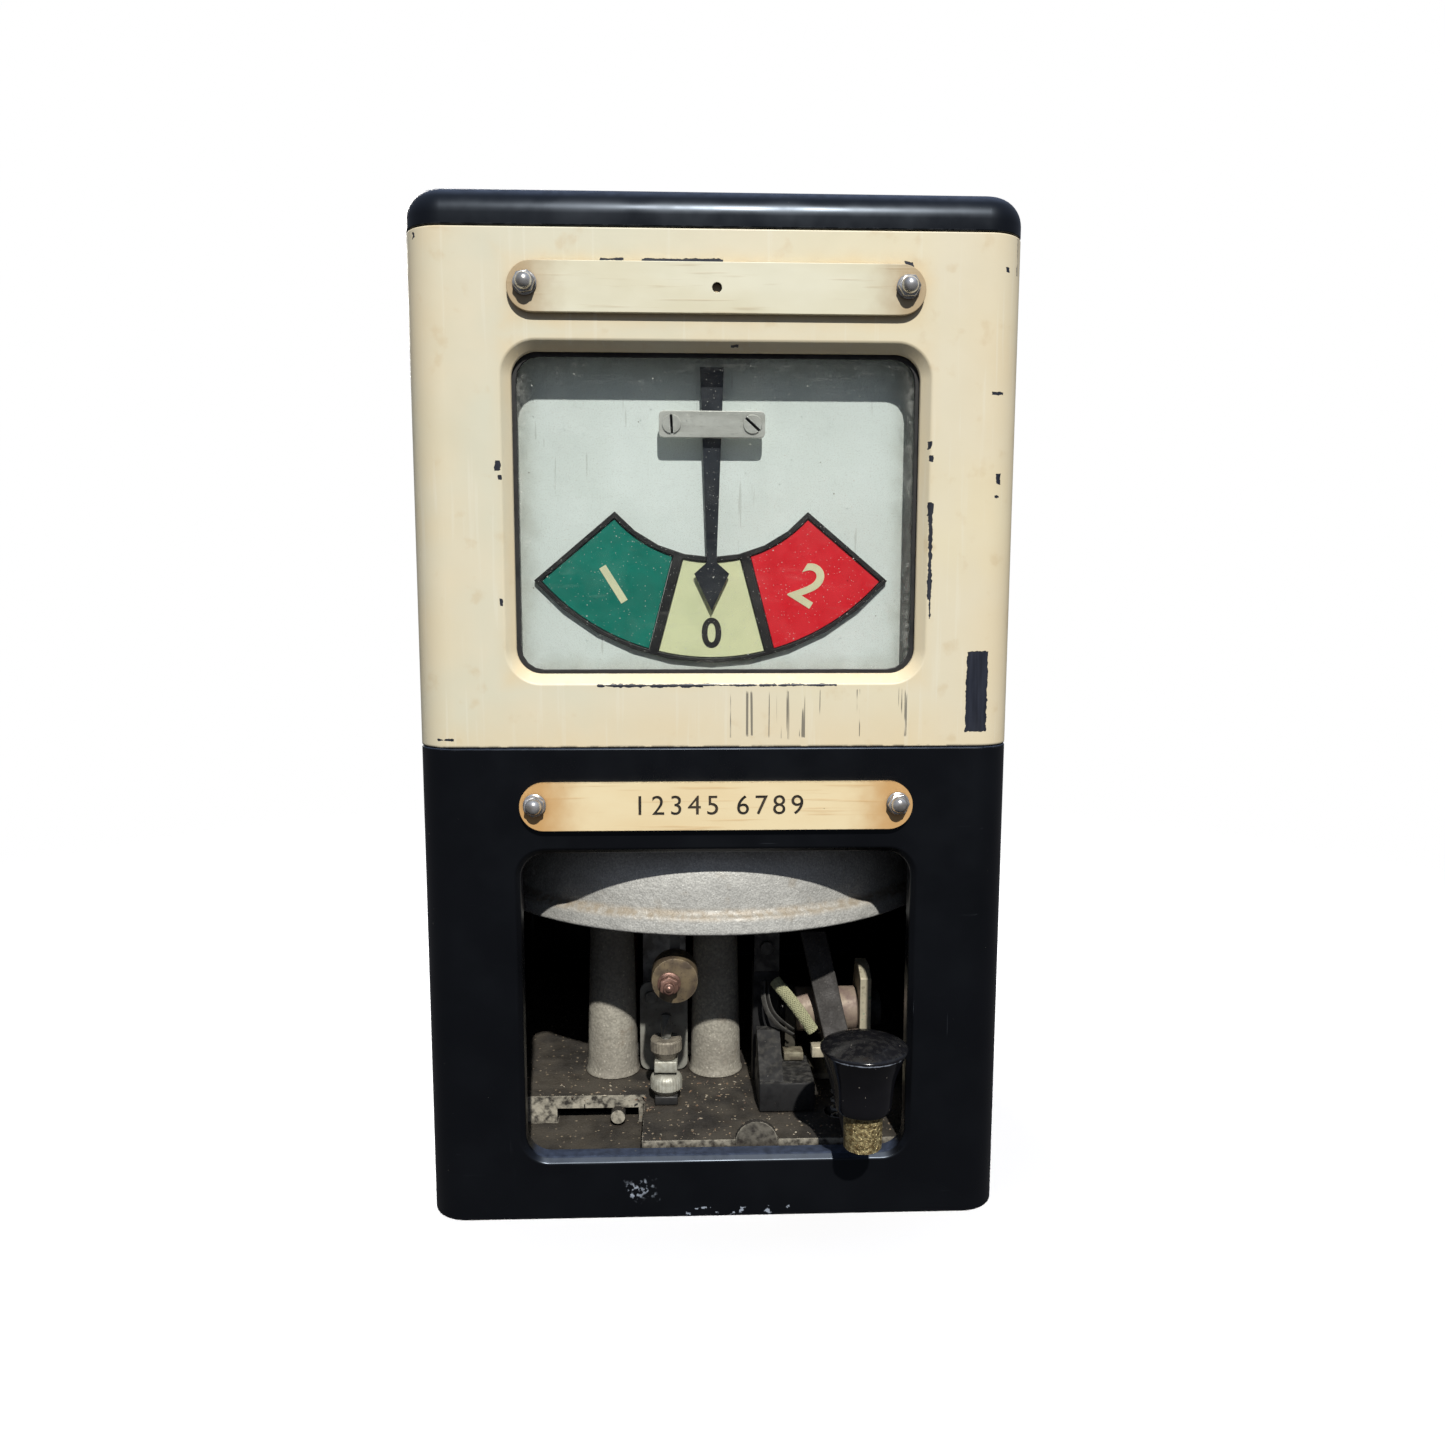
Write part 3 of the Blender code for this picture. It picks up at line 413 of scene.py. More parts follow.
def sand_cast(name, light, dark, stain, lumps, roughness=(0.6, 0.9), metallic=0.2, dust=0.0, band=None,
              worn=None, dull=None):
    """A sand casting: gritty skin, mottled grey, brown stains, dust on what faces up and soiling with
    painted shade in its corners; where asked, front faces lightened by wear, less so in a band of painted
    shadow.
    """
    look = Look(name, metallic=metallic)
    look.tone = look.mix(look.cloud(22.0, 4.0, 0.3, 0.7), light, dark)
    grit = look.cloud(lumps, 3.0, 0.38, 0.62)
    look.lay(tuple(0.55 * v for v in dark), grit, 0.45)
    look.lay(stain, look.cloud(9.0, 6.0, 0.6, 0.74), 0.35)
    sparkle = look.both(look.specks(lumps * 1.6, lumps * 0.42), 0.55)
    look.lay(tuple(min(1.0, 1.4 * v) for v in light), sparkle)
    if band:
        groove = look.spread(look.away("Z", *band), 0.0, 2.6, 1.0, 0.0)
        look.lay(stain, groove, look.cloud(3.0, 4.0, 0.3, 0.65, 0.3, 0.8))
    if dust:
        film = look.both(look.upward(0.5, 0.95),
                         look.cloud(16.0, 6.0, 0.36, 0.66, 0.1, 1.0))
        look.lay((0.085, 0.074, 0.058), film, dust)
        crumbs = look.both(look.specks(2.2, 0.55), look.upward(0.5, 0.9))
        look.lay((0.42, 0.34, 0.24), crumbs, 0.7)
    # Front faces lightened by wear, except that across the band given by dull they keep less of it: a
    # painted shadow.
    if worn:
        front = look.both(look.frontward(-0.9, -0.6),
                          look.cloud(2.6, 5.0, 0.3, 0.62))
        front = look.both(front, look.spread(look.away("X", *dull), -0.5, 0.5, 0.3, 1.0))
        look.lay(worn, front, 0.9)
    chipped = worn or tuple(min(1.0, 1.5 * v) for v in light)
    look.lay(chipped, look.edges(0.9, 0.7, 3.0), 0.8)
    # Soiling and painted shade in the corners.
    look.lay(tuple(0.3 * v for v in stain), look.dirt_and_shade_in_nooks(5.0), 0.6)
    look.bump((look.grain(lumps, 4.0), 0.22), (look.grain(lumps * 5, 3.0), 0.5))
    look.finish(look.cloud(6.0, 3.0, 0.3, 0.7, *roughness))


def moulded(name, tone, shine, dust=0.3, lip=None):
    """Black mouldings: glossy where handled, with fine dust and hairline scratches, and a painted highlight
    along the lip where a lip height is given.
    """
    look = Look(name, shine, specular=0.45)
    scratch = look.cloud(0.8, 2.0, 0.72, 0.76, stretch=(1.0, 1.0, 0.04))
    look.tone = look.mix(look.grain(8.0, 4.0), tone, tuple(2.2 * v for v in tone))
    film = look.both(look.upward(0.35, 1.0), look.cloud(2.4, 6.0, 0.4, 0.7, 0.1, 1.0))
    look.lay((0.12, 0.115, 0.1), film, dust)
    look.lay((0.36, 0.33, 0.28), look.specks(2.6, 0.22), 0.8)
    look.lay((0.12, 0.12, 0.125), look.edges(0.5, 0.5), 0.35)
    if lip:
        # Painted highlight: a thin wavering bluish line along the front of the lip.
        wander = look.both(look.maths("SUBTRACT", look.grain(5.0, 3.0), 0.5), 3.0)
        lightened = look.spread(look.maths("ADD", look.away("Z", lip, 0.0), look.maths("ABSOLUTE", wander)),
                             0.1, 0.45, 1.0, 0.0)
        lightened = look.both(lightened, look.frontward(-0.75, -0.5))
        look.lay((0.42, 0.47, 0.56), lightened, 0.9)
    look.bump((scratch, -0.015), (look.grain(10.0), 0.05))
    rough = look.maths("ADD", look.cloud(5.0, 4.0, 0.3, 0.7, shine * 0.8, shine * 1.5),
                       look.both(film, 0.25))
    look.finish(rough)


def signal_colour(name, tone, faded):
    """Printed colour on the dial: grain, faded patches and pin-prick flaws."""
    look = Look(name, 0.45)
    look.tone = look.mix(look.cloud(12.0, 5.0, 0.35, 0.7), tone, faded)
    look.lay(tuple(0.55 * v for v in tone), look.grain(0.5, 2.0), 0.25)
    look.lay(tuple(min(1.0, v + 0.3) for v in faded), look.specks(2.0, 0.2), 0.7)
    look.lay((0.05, 0.04, 0.03), look.specks(5.0, 0.3, (3.0, 1.0, 2.0)), 0.7)
    look.bump((look.grain(0.7, 2.0), 0.02),)
    look.finish(look.cloud(4.0, 3.0, 0.3, 0.7, 0.38, 0.55))


def dial_white():
    """Off-white card: mottled, with fine dark pepper, faint scratches, and darker towards its edges."""
    look = Look("dial_white", 0.55)
    look.tone = look.mix(look.cloud(26.0, 5.0, 0.3, 0.7), (0.84, 0.89, 0.87), (0.78, 0.83, 0.8))
    look.lay((0.5, 0.51, 0.46), look.cloud(0.55, 2.0, 0.52, 0.68), 0.3)
    edge = look.maths("MAXIMUM", look.away("X", 0.0, 66.0), look.away("Z", 262.5, 52.0))
    edge = look.spread(look.maths("ADD", edge, look.both(look.grain(9.0, 5.0), 10.0)), 1.0, 13.0)
    look.lay((0.36, 0.34, 0.27), edge, 0.5)
    hair = look.both(look.cloud(1.4, 2.0, 0.7, 0.74, stretch=(0.8, 1.0, 0.05), distortion=0.4), 0.3)
    look.lay((0.33, 0.32, 0.28), hair)
    look.lay((0.17, 0.14, 0.1), look.specks(11.0, 0.45), 0.7)
    look.bump((look.grain(1.2, 2.0), 0.02),)
    look.finish(look.cloud(8.0, 3.0, 0.3, 0.7, 0.45, 0.65))


def dusty_glass():
    """Thin glass that lets light straight through, with dust specks and a grubby rim."""
    look = Look("glass", 0.9)
    clear = look.node("ShaderNodeBsdfTransparent")
    clear.inputs["Color"].default_value = (0.955, 0.97, 0.965, 1.0)
    shine = look.node("ShaderNodeBsdfGlossy")
    shine.inputs["Roughness"].default_value = 0.03
    gloss = look.node("ShaderNodeMixShader")
    fresnel = look.node("ShaderNodeFresnel")
    fresnel.inputs["IOR"].default_value = 1.35
    look.feed(gloss.inputs[0], fresnel.outputs[0])
    look.feed(gloss.inputs[1], clear.outputs[0])
    look.feed(gloss.inputs[2], shine.outputs[0])
    rim = look.maths("MAXIMUM", look.away("X", 0.0, 64.0), look.away("Z", 262.5, 49.5))
    rim = look.spread(look.maths("ADD", rim, look.both(look.grain(9.0, 6.0), 12.0)), 7.0, 16.0, 0.0, 0.2)
    rim = look.both(rim, look.cloud(2.0, 6.0, 0.3, 0.7))
    film = look.cloud(14.0, 6.0, 0.5, 0.85, 0.0, 0.02)
    fine = look.both(look.specks(1.5, 0.2), 0.75)
    coarse = look.both(look.specks(4.2, 0.36, (1.0, 0.0, 4.0)), 0.85)
    streak = look.both(look.cloud(3.0, 3.0, 0.6, 0.8, stretch=(0.25, 1.0, 1.0)), 0.05)
    dust = look.either(rim, film, fine, coarse, streak)
    look.tone = look.mix(look.grain(2.0), (0.62, 0.62, 0.56), (0.8, 0.8, 0.76))
    both = look.node("ShaderNodeMixShader")
    look.feed(both.inputs[0], dust)
    look.feed(both.inputs[1], gloss.outputs[0])
    look.feed(both.inputs[2], look.shader.outputs[0])
    look.show(both)
    look.finish()


def braided_cotton():
    """Pale green-yellow cotton sleeve: fuzzy threads with soiling and painted shade between them."""
    look = Look("braid", 0.9, specular=0.2)
    look.tone = look.mix(look.grain(1.2, 4.0), (0.46, 0.45, 0.28), (0.28, 0.29, 0.17))
    # Soiling and painted shade between the threads.
    look.lay((0.07, 0.07, 0.045), look.dirt_and_shade_in_nooks(0.8), 0.8)
    look.lay((0.75, 0.7, 0.5), look.specks(1.4, 0.2), 0.6)
    look.bump((look.grain(0.25, 2.0, (1.0, 1.0, 0.3)), 0.08),)
    look.finish(look.cloud(2.0, 3.0, 0.3, 0.7, 0.8, 0.95))


def windings():
    """Cotton-covered wire wound round a spool: fine turns with dust on them."""
    look = Look("copper", 0.6)
    turns = look.node("ShaderNodeTexWave", bands_direction="Z")
    look.feed(turns.inputs["Vector"], look.point)
    turns.inputs["Scale"].default_value = 500.0
    turns.inputs["Distortion"].default_value = 0.6
    look.tone = look.mix(turns.outputs["Fac"], (0.05, 0.012, 0.008), (0.24, 0.07, 0.03))
    look.lay((0.1, 0.085, 0.06), look.grain(6.0, 5.0), 0.5)
    look.bump((turns.outputs["Fac"], 0.25),)
    look.finish(look.cloud(3.0, 3.0, 0.3, 0.7, 0.5, 0.75))


def crumbs():
    """Loose flakes of rust, wood and old paint."""
    look = Look("loose_dirt", 0.9)
    look.tone = look.mix(look.cloud(3.0, 1.0, 0.4, 0.6), (0.2, 0.125, 0.075), (0.4, 0.36, 0.28))
    look.lay((0.09, 0.06, 0.045), look.cloud(5.0, 1.0, 0.5, 0.6, shift=(2.0, 5.0, 1.0)))
    look.bump((look.grain(0.5, 3.0), 0.1),)
    look.finish(look.cloud(2.0, 3.0, 0.3, 0.7, 0.8, 1.0))


# bright tone, dull tone, patch size, roughness range, metallic, soiling and painted shade in corners, depth
# of pits
METALS = {
    "nut_chrome": ((0.72, 0.72, 0.72), (0.42, 0.4, 0.37), 3.0, (0.16, 0.3), 0.75, 0.85, 0.012),
    "plain_steel": ((0.4, 0.4, 0.38), (0.2, 0.19, 0.17), 6.0, (0.35, 0.6), 0.4, 0.6, 0.04),
    "shelf_steel": ((0.2, 0.2, 0.2), (0.1, 0.09, 0.08), 15.0, (0.45, 0.7), 0.6, 0.6, 0.04),
    "dark_steel": ((0.09, 0.088, 0.08), (0.035, 0.033, 0.03), 4.0, (0.4, 0.6), 0.3, 0.6, 0.04),
    "dull_nut": ((0.3, 0.27, 0.21), (0.17, 0.15, 0.12), 2.0, (0.5, 0.75), 0.2, 0.7, 0.04),
    "nickel": ((0.56, 0.55, 0.49), (0.4, 0.385, 0.33), 5.0, (0.28, 0.48), 0.35, 0.6, 0.02),
    "brass": ((0.5, 0.4, 0.22), (0.25, 0.18, 0.09), 5.0, (0.3, 0.55), 0.5, 0.7, 0.04),
    "ferrule_brass": ((0.62, 0.52, 0.27), (0.2, 0.14, 0.06), 1.3, (0.25, 0.6), 0.75, 0.5, 0.25),
    "bush_bronze": ((0.3, 0.24, 0.18), (0.2, 0.145, 0.12), 5.0, (0.55, 0.75), 0.15, 0.6, 0.03),
    "cream_brass": ((0.5, 0.45, 0.33), (0.36, 0.33, 0.25), 3.0, (0.5, 0.7), 0.15, 0.6, 0.03),
    "grimy_brass": ((0.26, 0.24, 0.17), (0.12, 0.1, 0.07), 3.0, (0.5, 0.75), 0.15, 0.7, 0.04),
    "bolt_copper": ((0.3, 0.17, 0.13), (0.13, 0.075, 0.06), 2.0, (0.3, 0.5), 0.5, 0.7, 0.05),
}
# tone and faded tone
PRINTED = {
    "needle_black": ((0.008, 0.01, 0.016), (0.02, 0.024, 0.034)),
    "sector_black": ((0.013, 0.012, 0.013), (0.03, 0.028, 0.028)),
    "sector_green": ((0.0, 0.19, 0.14), (0.0, 0.23, 0.17)),
    "sector_cream": ((0.86, 0.87, 0.54), (0.78, 0.8, 0.5)),
    "sector_red": ((0.8, 0.008, 0.02), (0.88, 0.02, 0.035)),
    "numeral_cream": ((0.86, 0.84, 0.55), (0.78, 0.76, 0.5)),
    "engraving": ((0.02, 0.018, 0.016), (0.06, 0.045, 0.03)),
}

black_paint()
cream_paint()
ivorine("ivorine", (0.76, 0.74, 0.58), (0.7, 0.66, 0.48), (0.42, 0.3, 0.16), 50.0)
ivorine("ivorine_tan", (0.84, 0.72, 0.46), (0.8, 0.65, 0.39), (0.55, 0.3, 0.1), 46.0)
for name, row in METALS.items():
    metal(name, *row)
# The terminal's nickel is darkened above 45 mm, a painted shadow of the hammer.
metal("terminal_nickel", (0.5, 0.5, 0.43), (0.36, 0.35, 0.29), 2.0, (0.4, 0.6), 0.25, 0.7, 0.05,
      shaded_from=45.0)
metal("bridge_nickel", (0.88, 0.87, 0.82), (0.72, 0.71, 0.66), 3.0, (0.3, 0.45), 0.25, 0.5, 0.015,
      stretch=(0.15, 1.0, 1.0))
metal("hammer_brass", (0.24, 0.185, 0.11), (0.1, 0.075, 0.052), 5.0, (0.4, 0.6), 0.4, 0.6, 0.05,
      edge=(0.5, 0.42, 0.28))
metal("frame_steel", (0.25, 0.25, 0.22), (0.16, 0.15, 0.13), 7.0, (0.5, 0.7), 0.15, 0.6, 0.04,
      edge=(0.3, 0.3, 0.27))
cheek_brass()
sand_cast("tapper_iron", (0.085, 0.08, 0.075), (0.045, 0.042, 0.04), (0.05, 0.04, 0.032), 0.8)
sand_cast("casting", (0.42, 0.4, 0.335), (0.3, 0.28, 0.235), (0.2, 0.14, 0.09), 1.1, metallic=0.05)
# Its front faces keep a painted shadow in the band round x 15.8 mm.
sand_cast("floor_casting", (0.045, 0.04, 0.034), (0.022, 0.02, 0.018), (0.06, 0.036, 0.02), 1.2,
          dust=0.85, worn=(0.46, 0.43, 0.35), dull=(15.8, 8.6))
sand_cast("bell_metal", (0.64, 0.64, 0.6), (0.5, 0.5, 0.47), (0.32, 0.26, 0.18), 0.7, (0.42, 0.62), 0.12,
          band=(114.6, 0.5))
# The knob's lip at 72.4 mm carries a painted highlight.
moulded("bakelite", (0.004, 0.004, 0.005), 0.12, 0.12, lip=72.4)
moulded("block_bakelite", (0.005, 0.005, 0.0055), 0.6, 0.42)
moulded("rubber", (0.012, 0.012, 0.012), 0.5, 0.6)
for name, row in PRINTED.items():
    signal_colour(name, *row)
dial_white()
dusty_glass()
braided_cotton()
windings()
crumbs()


# ---------------------------------------------------------------- mesh kit


def smoothing_group():
    """Geometry nodes that join split points and shade smooth, except across sharp edges."""
    tree = bpy.data.node_groups.new("smooth_except_sharp", "GeometryNodeTree")
    for way in ("INPUT", "OUTPUT"):
        tree.interface.new_socket("Geometry", in_out=way, socket_type="NodeSocketGeometry")
    start = tree.nodes.new("NodeGroupInput")
    end = tree.nodes.new("NodeGroupOutput")
    merge = tree.nodes.new("GeometryNodeMergeByDistance")
    merge.inputs["Distance"].default_value = 0.000002
    faces = tree.nodes.new("GeometryNodeSetShadeSmooth")
    edges = tree.nodes.new("GeometryNodeSetShadeSmooth")
    edges.domain = "EDGE"
    edges.inputs["Shade Smooth"].default_value = False
    angle = tree.nodes.new("GeometryNodeInputMeshEdgeAngle")
    over = tree.nodes.new("FunctionNodeCompare")
    over.inputs[1].default_value = SHARP
    links = (
        (start.outputs[0], merge.inputs["Geometry"]),
        (merge.outputs[0], faces.inputs["Geometry"]),
        (faces.outputs[0], edges.inputs["Geometry"]),
        (angle.outputs["Unsigned Angle"], over.inputs[0]),
        (over.outputs[0], edges.inputs["Selection"]),
        (edges.outputs[0], end.inputs[0]),
    )
    for source, target in links:
        tree.links.new(source, target)
    return tree


SMOOTHING = smoothing_group()


def soften(obj, edge=SOFT_EDGE, segments=2):
    """Rounds an object's sharp edges and shades the rest smooth, by modifiers alone."""
    shade = obj.modifiers.new("smooth_except_sharp", "NODES")
    shade.node_group = SMOOTHING
    if edge:
        flat = obj.modifiers.new("flat_faces", "DECIMATE")
        flat.decimate_type = "DISSOLVE"
        flat.angle_limit = math.radians(0.5)
        bevel = obj.modifiers.new("worn_edges", "BEVEL")
        bevel.width = edge * MM
        bevel.segments = segments
        bevel.limit_method = "ANGLE"
        bevel.angle_limit = SHARP
        bevel.harden_normals = True
    return obj


def add_object(name, data):
    made = bpy.data.objects.new(name, data)
    bpy.context.scene.collection.objects.link(made)
    return made


def mesh_object(name, shape):
    mesh = bpy.data.meshes.new(name)
    bmesh.ops.recalc_face_normals(shape, faces=shape.faces)
    shape.to_mesh(mesh)
    shape.free()
    mesh.shade_smooth()
    mesh.set_sharp_from_angle(angle=SHARP)
    return add_object(name, mesh)


def baked(obj):
    """The object with its modifiers turned into mesh, and its place into vertices."""
    bpy.context.view_layer.update()
    evaluated = obj.evaluated_get(bpy.context.evaluated_depsgraph_get())
    mesh = bpy.data.meshes.new_from_object(evaluated)
    mesh.transform(obj.matrix_world)
    name = obj.name
    bpy.data.objects.remove(obj)
    mesh.name = name
    return add_object(name, mesh)


def carve(obj, *cutters):
    """The object less its cutters, which are removed."""
    for cutter in cutters:
        change = obj.modifiers.new("carve", "BOOLEAN")
        change.operation = "DIFFERENCE"
        change.solver = "EXACT"
        change.material_mode = "TRANSFER"
        change.use_self = True
        change.object = cutter
    result = baked(obj)
    for cutter in cutters:
        bpy.data.objects.remove(cutter)
    return result


def weld(name, *parts):
    """Several meshes as one object, without joining their surfaces."""
    shape = bmesh.new()
    for part in parts:
        whole = baked(part)
        shape.from_mesh(whole.data)
        bpy.data.objects.remove(whole)
    mesh = bpy.data.meshes.new(name)
    shape.to_mesh(mesh)
    shape.free()
    mesh.shade_smooth()
    mesh.set_sharp_from_angle(angle=SHARP)
    return add_object(name, mesh)


def arc(centre, radius, start, end, count):
    angles = [math.radians(start + (end - start) * i / (count - 1)) for i in range(count)]
    return [(centre[0] + radius * math.cos(a), centre[1] + radius * math.sin(a)) for a in angles]


def rounded_rectangle(left, right, low, high, radius, count=13):
    """The outline of a rectangle with round corners, counter-clockwise."""
    corners = (
        (right - radius, high - radius, 0),
        (left + radius, high - radius, 90),
        (left + radius, low + radius, 180),
        (right - radius, low + radius, 270),
    )
    return [p for x, y, start in corners for p in arc((x, y), radius, start, start + 90, count)]


def flowing(points, per=4):
    """A smooth line through points of any dimension, each stretch cut into that many."""
    vectors = [Vector(p) for p in points]
    padded = [2 * vectors[0] - vectors[1], *vectors, 2 * vectors[-1] - vectors[-2]]
    found = []
    for a, b, c, d in zip(padded, padded[1:], padded[2:], padded[3:]):
        for i in range(per):
            t = i / per
            squared = 2 * a - 5 * b + 4 * c - d
            cubed = 3 * b - a - 3 * c + d
            found.append(0.5 * (2 * b + (c - a) * t + squared * t**2 + cubed * t**3))
    return [tuple(p) for p in (*found, vectors[-1])]


def lathe(name, profile, place, axis="Z", steps=96):
    """A solid of revolution from (radius, height) points, its height running along the axis."""
    shape = bmesh.new()
    rings = []
    for radius, height in profile:
        if radius < 1e-6:
            rings.append([shape.verts.new((0, 0, height * MM))])
            continue
        turn = [2 * math.pi * i / steps for i in range(steps)]
        circle = [(radius * math.cos(a), radius * math.sin(a), height) for a in turn]
        rings.append([shape.verts.new(Vector(point) * MM) for point in circle])
    closed = len(rings[0]) > 1 and len(rings[-1]) > 1
    for near, far in zip(rings, rings[1:] + (rings[:1] if closed else [])):
        for i in range(steps):
            j = (i + 1) % steps
            corners = [near[i % len(near)], near[j % len(near)], far[j % len(far)], far[i % len(far)]]
            corners = list(dict.fromkeys(corners))
            if len(corners) > 2:
                shape.faces.new(corners)
    turns = {
        "X": Matrix.Rotation(math.radians(90), 3, "Y"),
        "Y": Matrix.Rotation(math.radians(-90), 3, "X"),
        "Z": Matrix.Identity(3),
    }
    bmesh.ops.rotate(shape, cent=(0, 0, 0), matrix=turns[axis], verts=shape.verts)
    bmesh.ops.translate(shape, vec=at(*place), verts=shape.verts)
    return mesh_object(name, shape)


def prism(name, outline, near, far, axis="Y"):
    """An outline drawn out along an axis from near to far.

    Its directions are x and depth for axis Z, x and z for axis Y, and depth and z for axis X.
    """
    places = {
        "Z": lambda u, v, w: at(u, v, w),
        "Y": lambda u, v, w: at(u, w, v),
        "X": lambda u, v, w: at(w, u, v),
    }
    return loft(name, [[places[axis](u, v, w) for u, v in outline] for w in (near, far)])


def loft(name, sections):
    """A solid through rings of points of equal length."""
    shape = bmesh.new()
    rings = [[shape.verts.new(point) for point in section] for section in sections]
    count = len(rings[0])
    for near, far in zip(rings, rings[1:]):
        for i in range(count):
            j = (i + 1) % count
            shape.faces.new((near[i], near[j], far[j], far[i]))
    shape.faces.new(rings[0])
    shape.faces.new(rings[-1])
    return mesh_object(name, shape)


def block(name, xs, depths, zs):
    outline = [(xs[0], zs[0]), (xs[1], zs[0]), (xs[1], zs[1]), (xs[0], zs[1])]
    return prism(name, outline, *depths)


def polygon(sides, radius, centre, turn):
    return arc(centre, radius, turn, turn + 360 * (sides - 1) / sides, sides)


def numerals(name, words, size, place, turn=0.0, thickness=0.2, bold=0.0, gap=1.0):
    """Figures standing on a vertical face, turned about the line of sight by an angle in degrees."""
    curve = bpy.data.curves.new(name, "FONT")
    curve.body = words
    curve.size = size * MM
    curve.extrude = thickness / 2 * MM
    curve.offset = bold * MM
    curve.space_character = gap
    curve.align_x = "CENTER"
    curve.align_y = "CENTER"
    text = add_object(name, curve)
    text.matrix_world = (
        Matrix.Translation(at(*place))
        @ Matrix.Rotation(math.radians(turn), 4, "Y")
        @ Matrix.Rotation(math.radians(90), 4, "X")
    )
    return baked(text)


def place(obj, body, look, *nodes, slot=None, edge=None):
    """Gives a finished piece its material, its body and the CAD nodes that it stands for."""
    if edge is not None:
        soften(obj, edge, 3)
    obj.data.materials.clear()
    obj.data.materials.append(LOOKS[look])
    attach(obj, body)
    if nodes:
        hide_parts(*nodes)
    return obj


# ---------------------------------------------------------------- the case


def storey(name, window, chamfer, wall, floor, back, look):
    """One storey of the case: a shell with a flared window in front and an opening behind."""
    low, high = span(name)
    plan = rounded_rectangle(low.x, high.x, low.y, high.y, CORNER)
    room = rounded_rectangle(
        low.x + WALL, high.x - WALL, low.y + wall, high.y - WALL, CORNER - WALL
    )
    shell = prism(name + "_shell", plan, low.z, high.z, "Z")
    cavity = prism("cavity", room, low.z + floor, high.z + 1, "Z")
    left, right, bottom, top = window
    sections = []
    for depth, grow in ((-1, chamfer + 1), (chamfer, 0), (wall + 1, 0)):
        outline = rounded_rectangle(
            left - grow, right + grow, bottom - grow, top + grow, WINDOW_CORNER + grow
        )
        sections.append([at(x, depth, z) for x, z in outline])
    flare = loft("flare", sections)
    rear = prism("rear", rounded_rectangle(*back, 8.0), high.y - WALL - 2, high.y + 2)
    shell = carve(shell, cavity, flare, rear)
    place(shell, "case", look, name, edge=0.6)


def make_cap():
    low, high = span("top_cap")
    straight = high.z - low.z - CAP_ROUND
    sections = []
    for i in range(-1, 13):
        angle = math.radians(90 * max(i, 0) / 12)
        inset = CAP_ROUND * (1 - math.cos(angle))
        height = low.z if i < 0 else low.z + straight + CAP_ROUND * math.sin(angle)
        plan = rounded_rectangle(
            low.x + inset, high.x - inset, low.y + inset, high.y - inset, max(CORNER - inset, 4.0)
        )
        sections.append([at(x, y, height) for x, y in plan])
    cap = loft("top_cap_shell", sections)
    cap = carve(cap, block("cap_hollow", (-96, 96), (12, 210), (low.z - 1, low.z + 8.2)))
    place(cap, "case", "black_case", "top_cap", edge=0.5)


def acorn_nut(node, turn):
    """A hexagon nut with a domed end over a thin washer."""
    low, high, centre = extent(node)
    hexagon = prism("hexagon", polygon(6, 4.0, (centre.x, centre.z), turn), high.y - 2.9, high.y - 0.5)
    soften(hexagon, 0.35, 3)
    tall = high.y - 2.9 - low.y
    dome = [(3.0 * x, -tall * y) for x, y in arc((0, 0), 1.0, 0, 90, 11)]
    dome = lathe("dome", dome + [(0, 0.2)], (centre.x, high.y - 2.9, centre.z), "Y", 40)
    washer = lathe("washer", [(0, -0.6), (3.9, -0.6), (4.1, -0.4), (4.1, 0), (0, 0)],
                   (centre.x, high.y, centre.z), "Y", 40)
    place(weld(node + "_acorn", hexagon, dome, washer), "case", "nut_chrome", node)


def make_name_plates():
    for node, look, words in (
        ("upper_name_plate", "ivorine", ""),
        ("lower_name_plate", "ivorine_tan", "12345 6789"),
    ):
        low, high, centre = extent(node)
        outline = rounded_rectangle(low.x, high.x, low.z, high.z, (high.z - low.z) / 2 - 0.1)
        plate = prism(node + "_sheet", outline, low.y, high.y)
        plate.data.materials.append(LOOKS[look])
        if words:
            cutter = numerals("figures", words, 10.1, (0.6, low.y, centre.z), thickness=0.9, gap=1.3)
        else:
            cutter = lathe("hole", [(0, -4), (1.6, -4), (1.6, 4), (0, 4)], (-0.2, low.y, centre.z), "Y",
                           32)
        cutter.data.materials.clear()
        cutter.data.materials.append(LOOKS["engraving"])
        plate = soften(carve(plate, cutter), 0.3, 3)
        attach(plate, "case")
        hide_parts(node)


def make_case():
    storey("lower_case", LOWER_WINDOW, 2.0, 8.0, 5.0, (-84, 84, 30, 165), "black_case")
    storey("upper_case", UPPER_WINDOW, 3.5, 5.0, 0.0, (-84, 84, 200, 344), "cream_case")
    make_cap()
    make_name_plates()
    for node, turn in (
        ("upper_name_plate_nut_left", 10), ("upper_name_plate_nut_right", 0),
        ("lower_name_plate_nut_left", 25), ("lower_name_plate_nut_right", 4),
    ):
        acorn_nut(node, turn)


# ---------------------------------------------------------------- the dial


